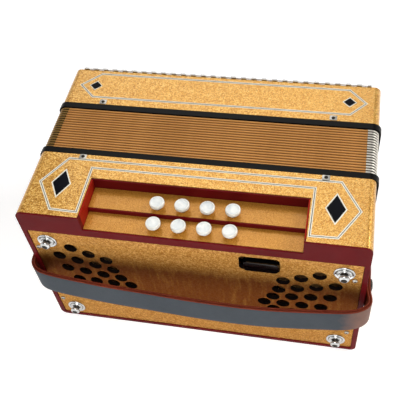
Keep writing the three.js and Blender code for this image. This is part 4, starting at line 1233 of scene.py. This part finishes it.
def treble_key(name, x, reach, pallet_z):
    """One whole key: button, stem, lever with its hub, and pallet."""
    button_y = TREBLE_END + reach
    axle_y, axle_z = TREBLE_AXLE
    face = PALLET_BACK + PALLET_THICKNESS
    thick, deep = LEVER_HALF
    head = turned("head", TREBLE_BUTTON_PROFILE, pearl_rim, at(x, button_y, TREBLE_BUTTON_Z), (0, 0, 1), 40)
    height = TREBLE_BUTTON_Z + ROD_SUNK - axle_z
    stem = turned("stem", [(0, 0), (STEM_RADIUS, 0), (STEM_RADIUS, height)], dull_steel,
                  at(x, button_y, axle_z), (0, 0, 1), 18)
    crank = [(face - LEVER_SUNK, axle_z - deep), (button_y + deep, axle_z - deep), (button_y + deep, axle_z + deep),
             (axle_y + deep, axle_z + deep), (face + LEVER_TOE, pallet_z), (face - LEVER_SUNK, pallet_z)]
    lever = prism("lever", crank, x - thick, x + thick, "x", dull_steel)
    ease_edges(lever, 0.3)
    settle(lever)
    hub = turned("hub", HUB_PROFILE, dull_steel, at(x, axle_y, axle_z), (1, 0, 0), 24)
    outline = rounded(*((c - half, c + half) for c, half in zip((x, pallet_z), PALLET_HALF)), PALLET_CORNER, 3)
    seam = PALLET_BACK + FACING_THICKNESS
    pallet = prism("pallet", outline, seam, face, "y", bare_wood)
    facing = prism("facing", outline, PALLET_BACK, seam, "y", strap_back)
    parts = [keep_edges(part, 45) for part in (head, stem, lever, hub, pallet, facing)]
    return join_pieces(name, parts)


for row, (count, reach, pallet_z) in TREBLE_ROWS.items():
    for number in range(1, count + 1):
        x = (number - 1 - (count - 1) / 2) * KEY_PITCH
        key = treble_key(f"melody_key_{row}_{number}", x, reach, pallet_z)
        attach(key, f"treble_key_{row}_{number}")
        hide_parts(f"treble_key_{row}_{number}")

# Treble grille.
# A pressed and pierced metal cover over the pallets, with a scalloped front edge.

grille_metal = plated_metal("pressed_grille_metal", colour(196, 195, 192), 0.24, (160, 157, 150), 0.15)
finish_node("treble_grille", grille_metal, 0.15)

# Camera, floor and light.
# A long lens from above the bass end, on a white floor, in the even light of a studio.

LENS = 62.51
CAMERA_AT = Vector((113.45, -349.56, 628.62)) * MM
CAMERA_RIGHT = Vector((0.97847, 0.18657, -0.08828))
CAMERA_FORWARD = Vector((-0.18401, 0.59479, -0.78254))

lens = bpy.data.cameras.new("camera")
lens.lens = LENS
lens.sensor_width = 36.0
lens.clip_start = 0.01
camera = bpy.data.objects.new("camera", lens)
forward = CAMERA_FORWARD.normalized()
right = (CAMERA_RIGHT - forward * CAMERA_RIGHT.dot(forward)).normalized()
upward = right.cross(forward)
turn = Matrix((right, upward, -forward)).transposed()
camera.matrix_world = Matrix.Translation(CAMERA_AT) @ turn.to_4x4()
bpy.context.scene.collection.objects.link(camera)
bpy.context.scene.camera = camera
bpy.context.scene.view_settings.view_transform = "Standard"


def seen_directly(tree):
    """1 for rays from the camera, from a mirror or through glass, and 0 for the rest."""
    rays = add_node(tree, "LightPath").outputs
    either = reckon(tree, "MAXIMUM", rays["Is Camera Ray"], rays["Is Glossy Ray"])
    return reckon(tree, "MAXIMUM", either, rays["Is Transmission Ray"])


FLOOR_WIDTH = 8
FLOOR_GLOW = (0.44, 1.0)
GLOW_REACH = (0.35, 0.95)
floor_material, tree, shader = finish_material("pale_floor", {
    "Base Color": (0.86, 0.86, 0.86, 1.0), "Roughness": 0.9, "Specular IOR Level": 0.0, "Emission Color": WHITE,
})
reach = reckon_vector(tree, "LENGTH", surface_place(tree))
glow = spread_value(tree, reach, *GLOW_REACH, *FLOOR_GLOW, interpolation_type="SMOOTHSTEP")
feed(tree, shader, {"Emission Strength": reckon(tree, "MULTIPLY", glow, seen_directly(tree))})
corners = [(x, y, 0) for x, y in oblong(0, 0, FLOOR_WIDTH, FLOOR_WIDTH)]
floor = make_piece("floor", corners, [(0, 1, 2, 3)], floor_material)

WORLD_LIGHT = 0.32
world = bpy.data.worlds.new("studio")
world.use_nodes = True
bpy.context.scene.world = world
tree = world.node_tree
toward = add_node(tree, "SeparateXYZ", {0: add_node(tree, "TexCoord").outputs["Generated"]})
ceiling = ramp(tree, scale_value(tree, toward.outputs[2], 0.5, 0.5), [(0.66, WHITE), (0.85, (0.3, 0.3, 0.3, 1.0))])
direct = seen_directly(tree)
feed(tree, tree.nodes["Background"], {
    "Color": blend_colour(tree, direct, WHITE, ceiling),
    "Strength": scale_value(tree, direct, 1.0 - WORLD_LIGHT, WORLD_LIGHT),
})


def soft_light(name, place, target, size, power, spread=180):
    """A square soft box that faces the target."""
    lamp = bpy.data.lights.new(name, "AREA")
    lamp.size = size
    lamp.spread = math.radians(spread)
    lamp.energy = power
    holder = bpy.data.objects.new(name, lamp)
    holder.location = place
    holder.rotation_euler = (Vector(target) - Vector(place)).to_track_quat("-Z", "Y").to_euler()
    bpy.context.scene.collection.objects.link(holder)


soft_light("key_light", (0.9, 0.4, 0.9), (0, 0.05, 0.15), 0.45, 6.0)
soft_light("top_light", (-0.15, 0.8, 1.1), (0, 0.05, 0.15), 0.9, 4.6)
soft_light("front_light", (0.2, -1.3, 0.35), (0, 0.0, 0.1), 0.9, 0.8)
soft_light("table_light", (0.0, -0.5, 0.6), (0, -0.4, 0.0), 0.5, 1.8, 75)
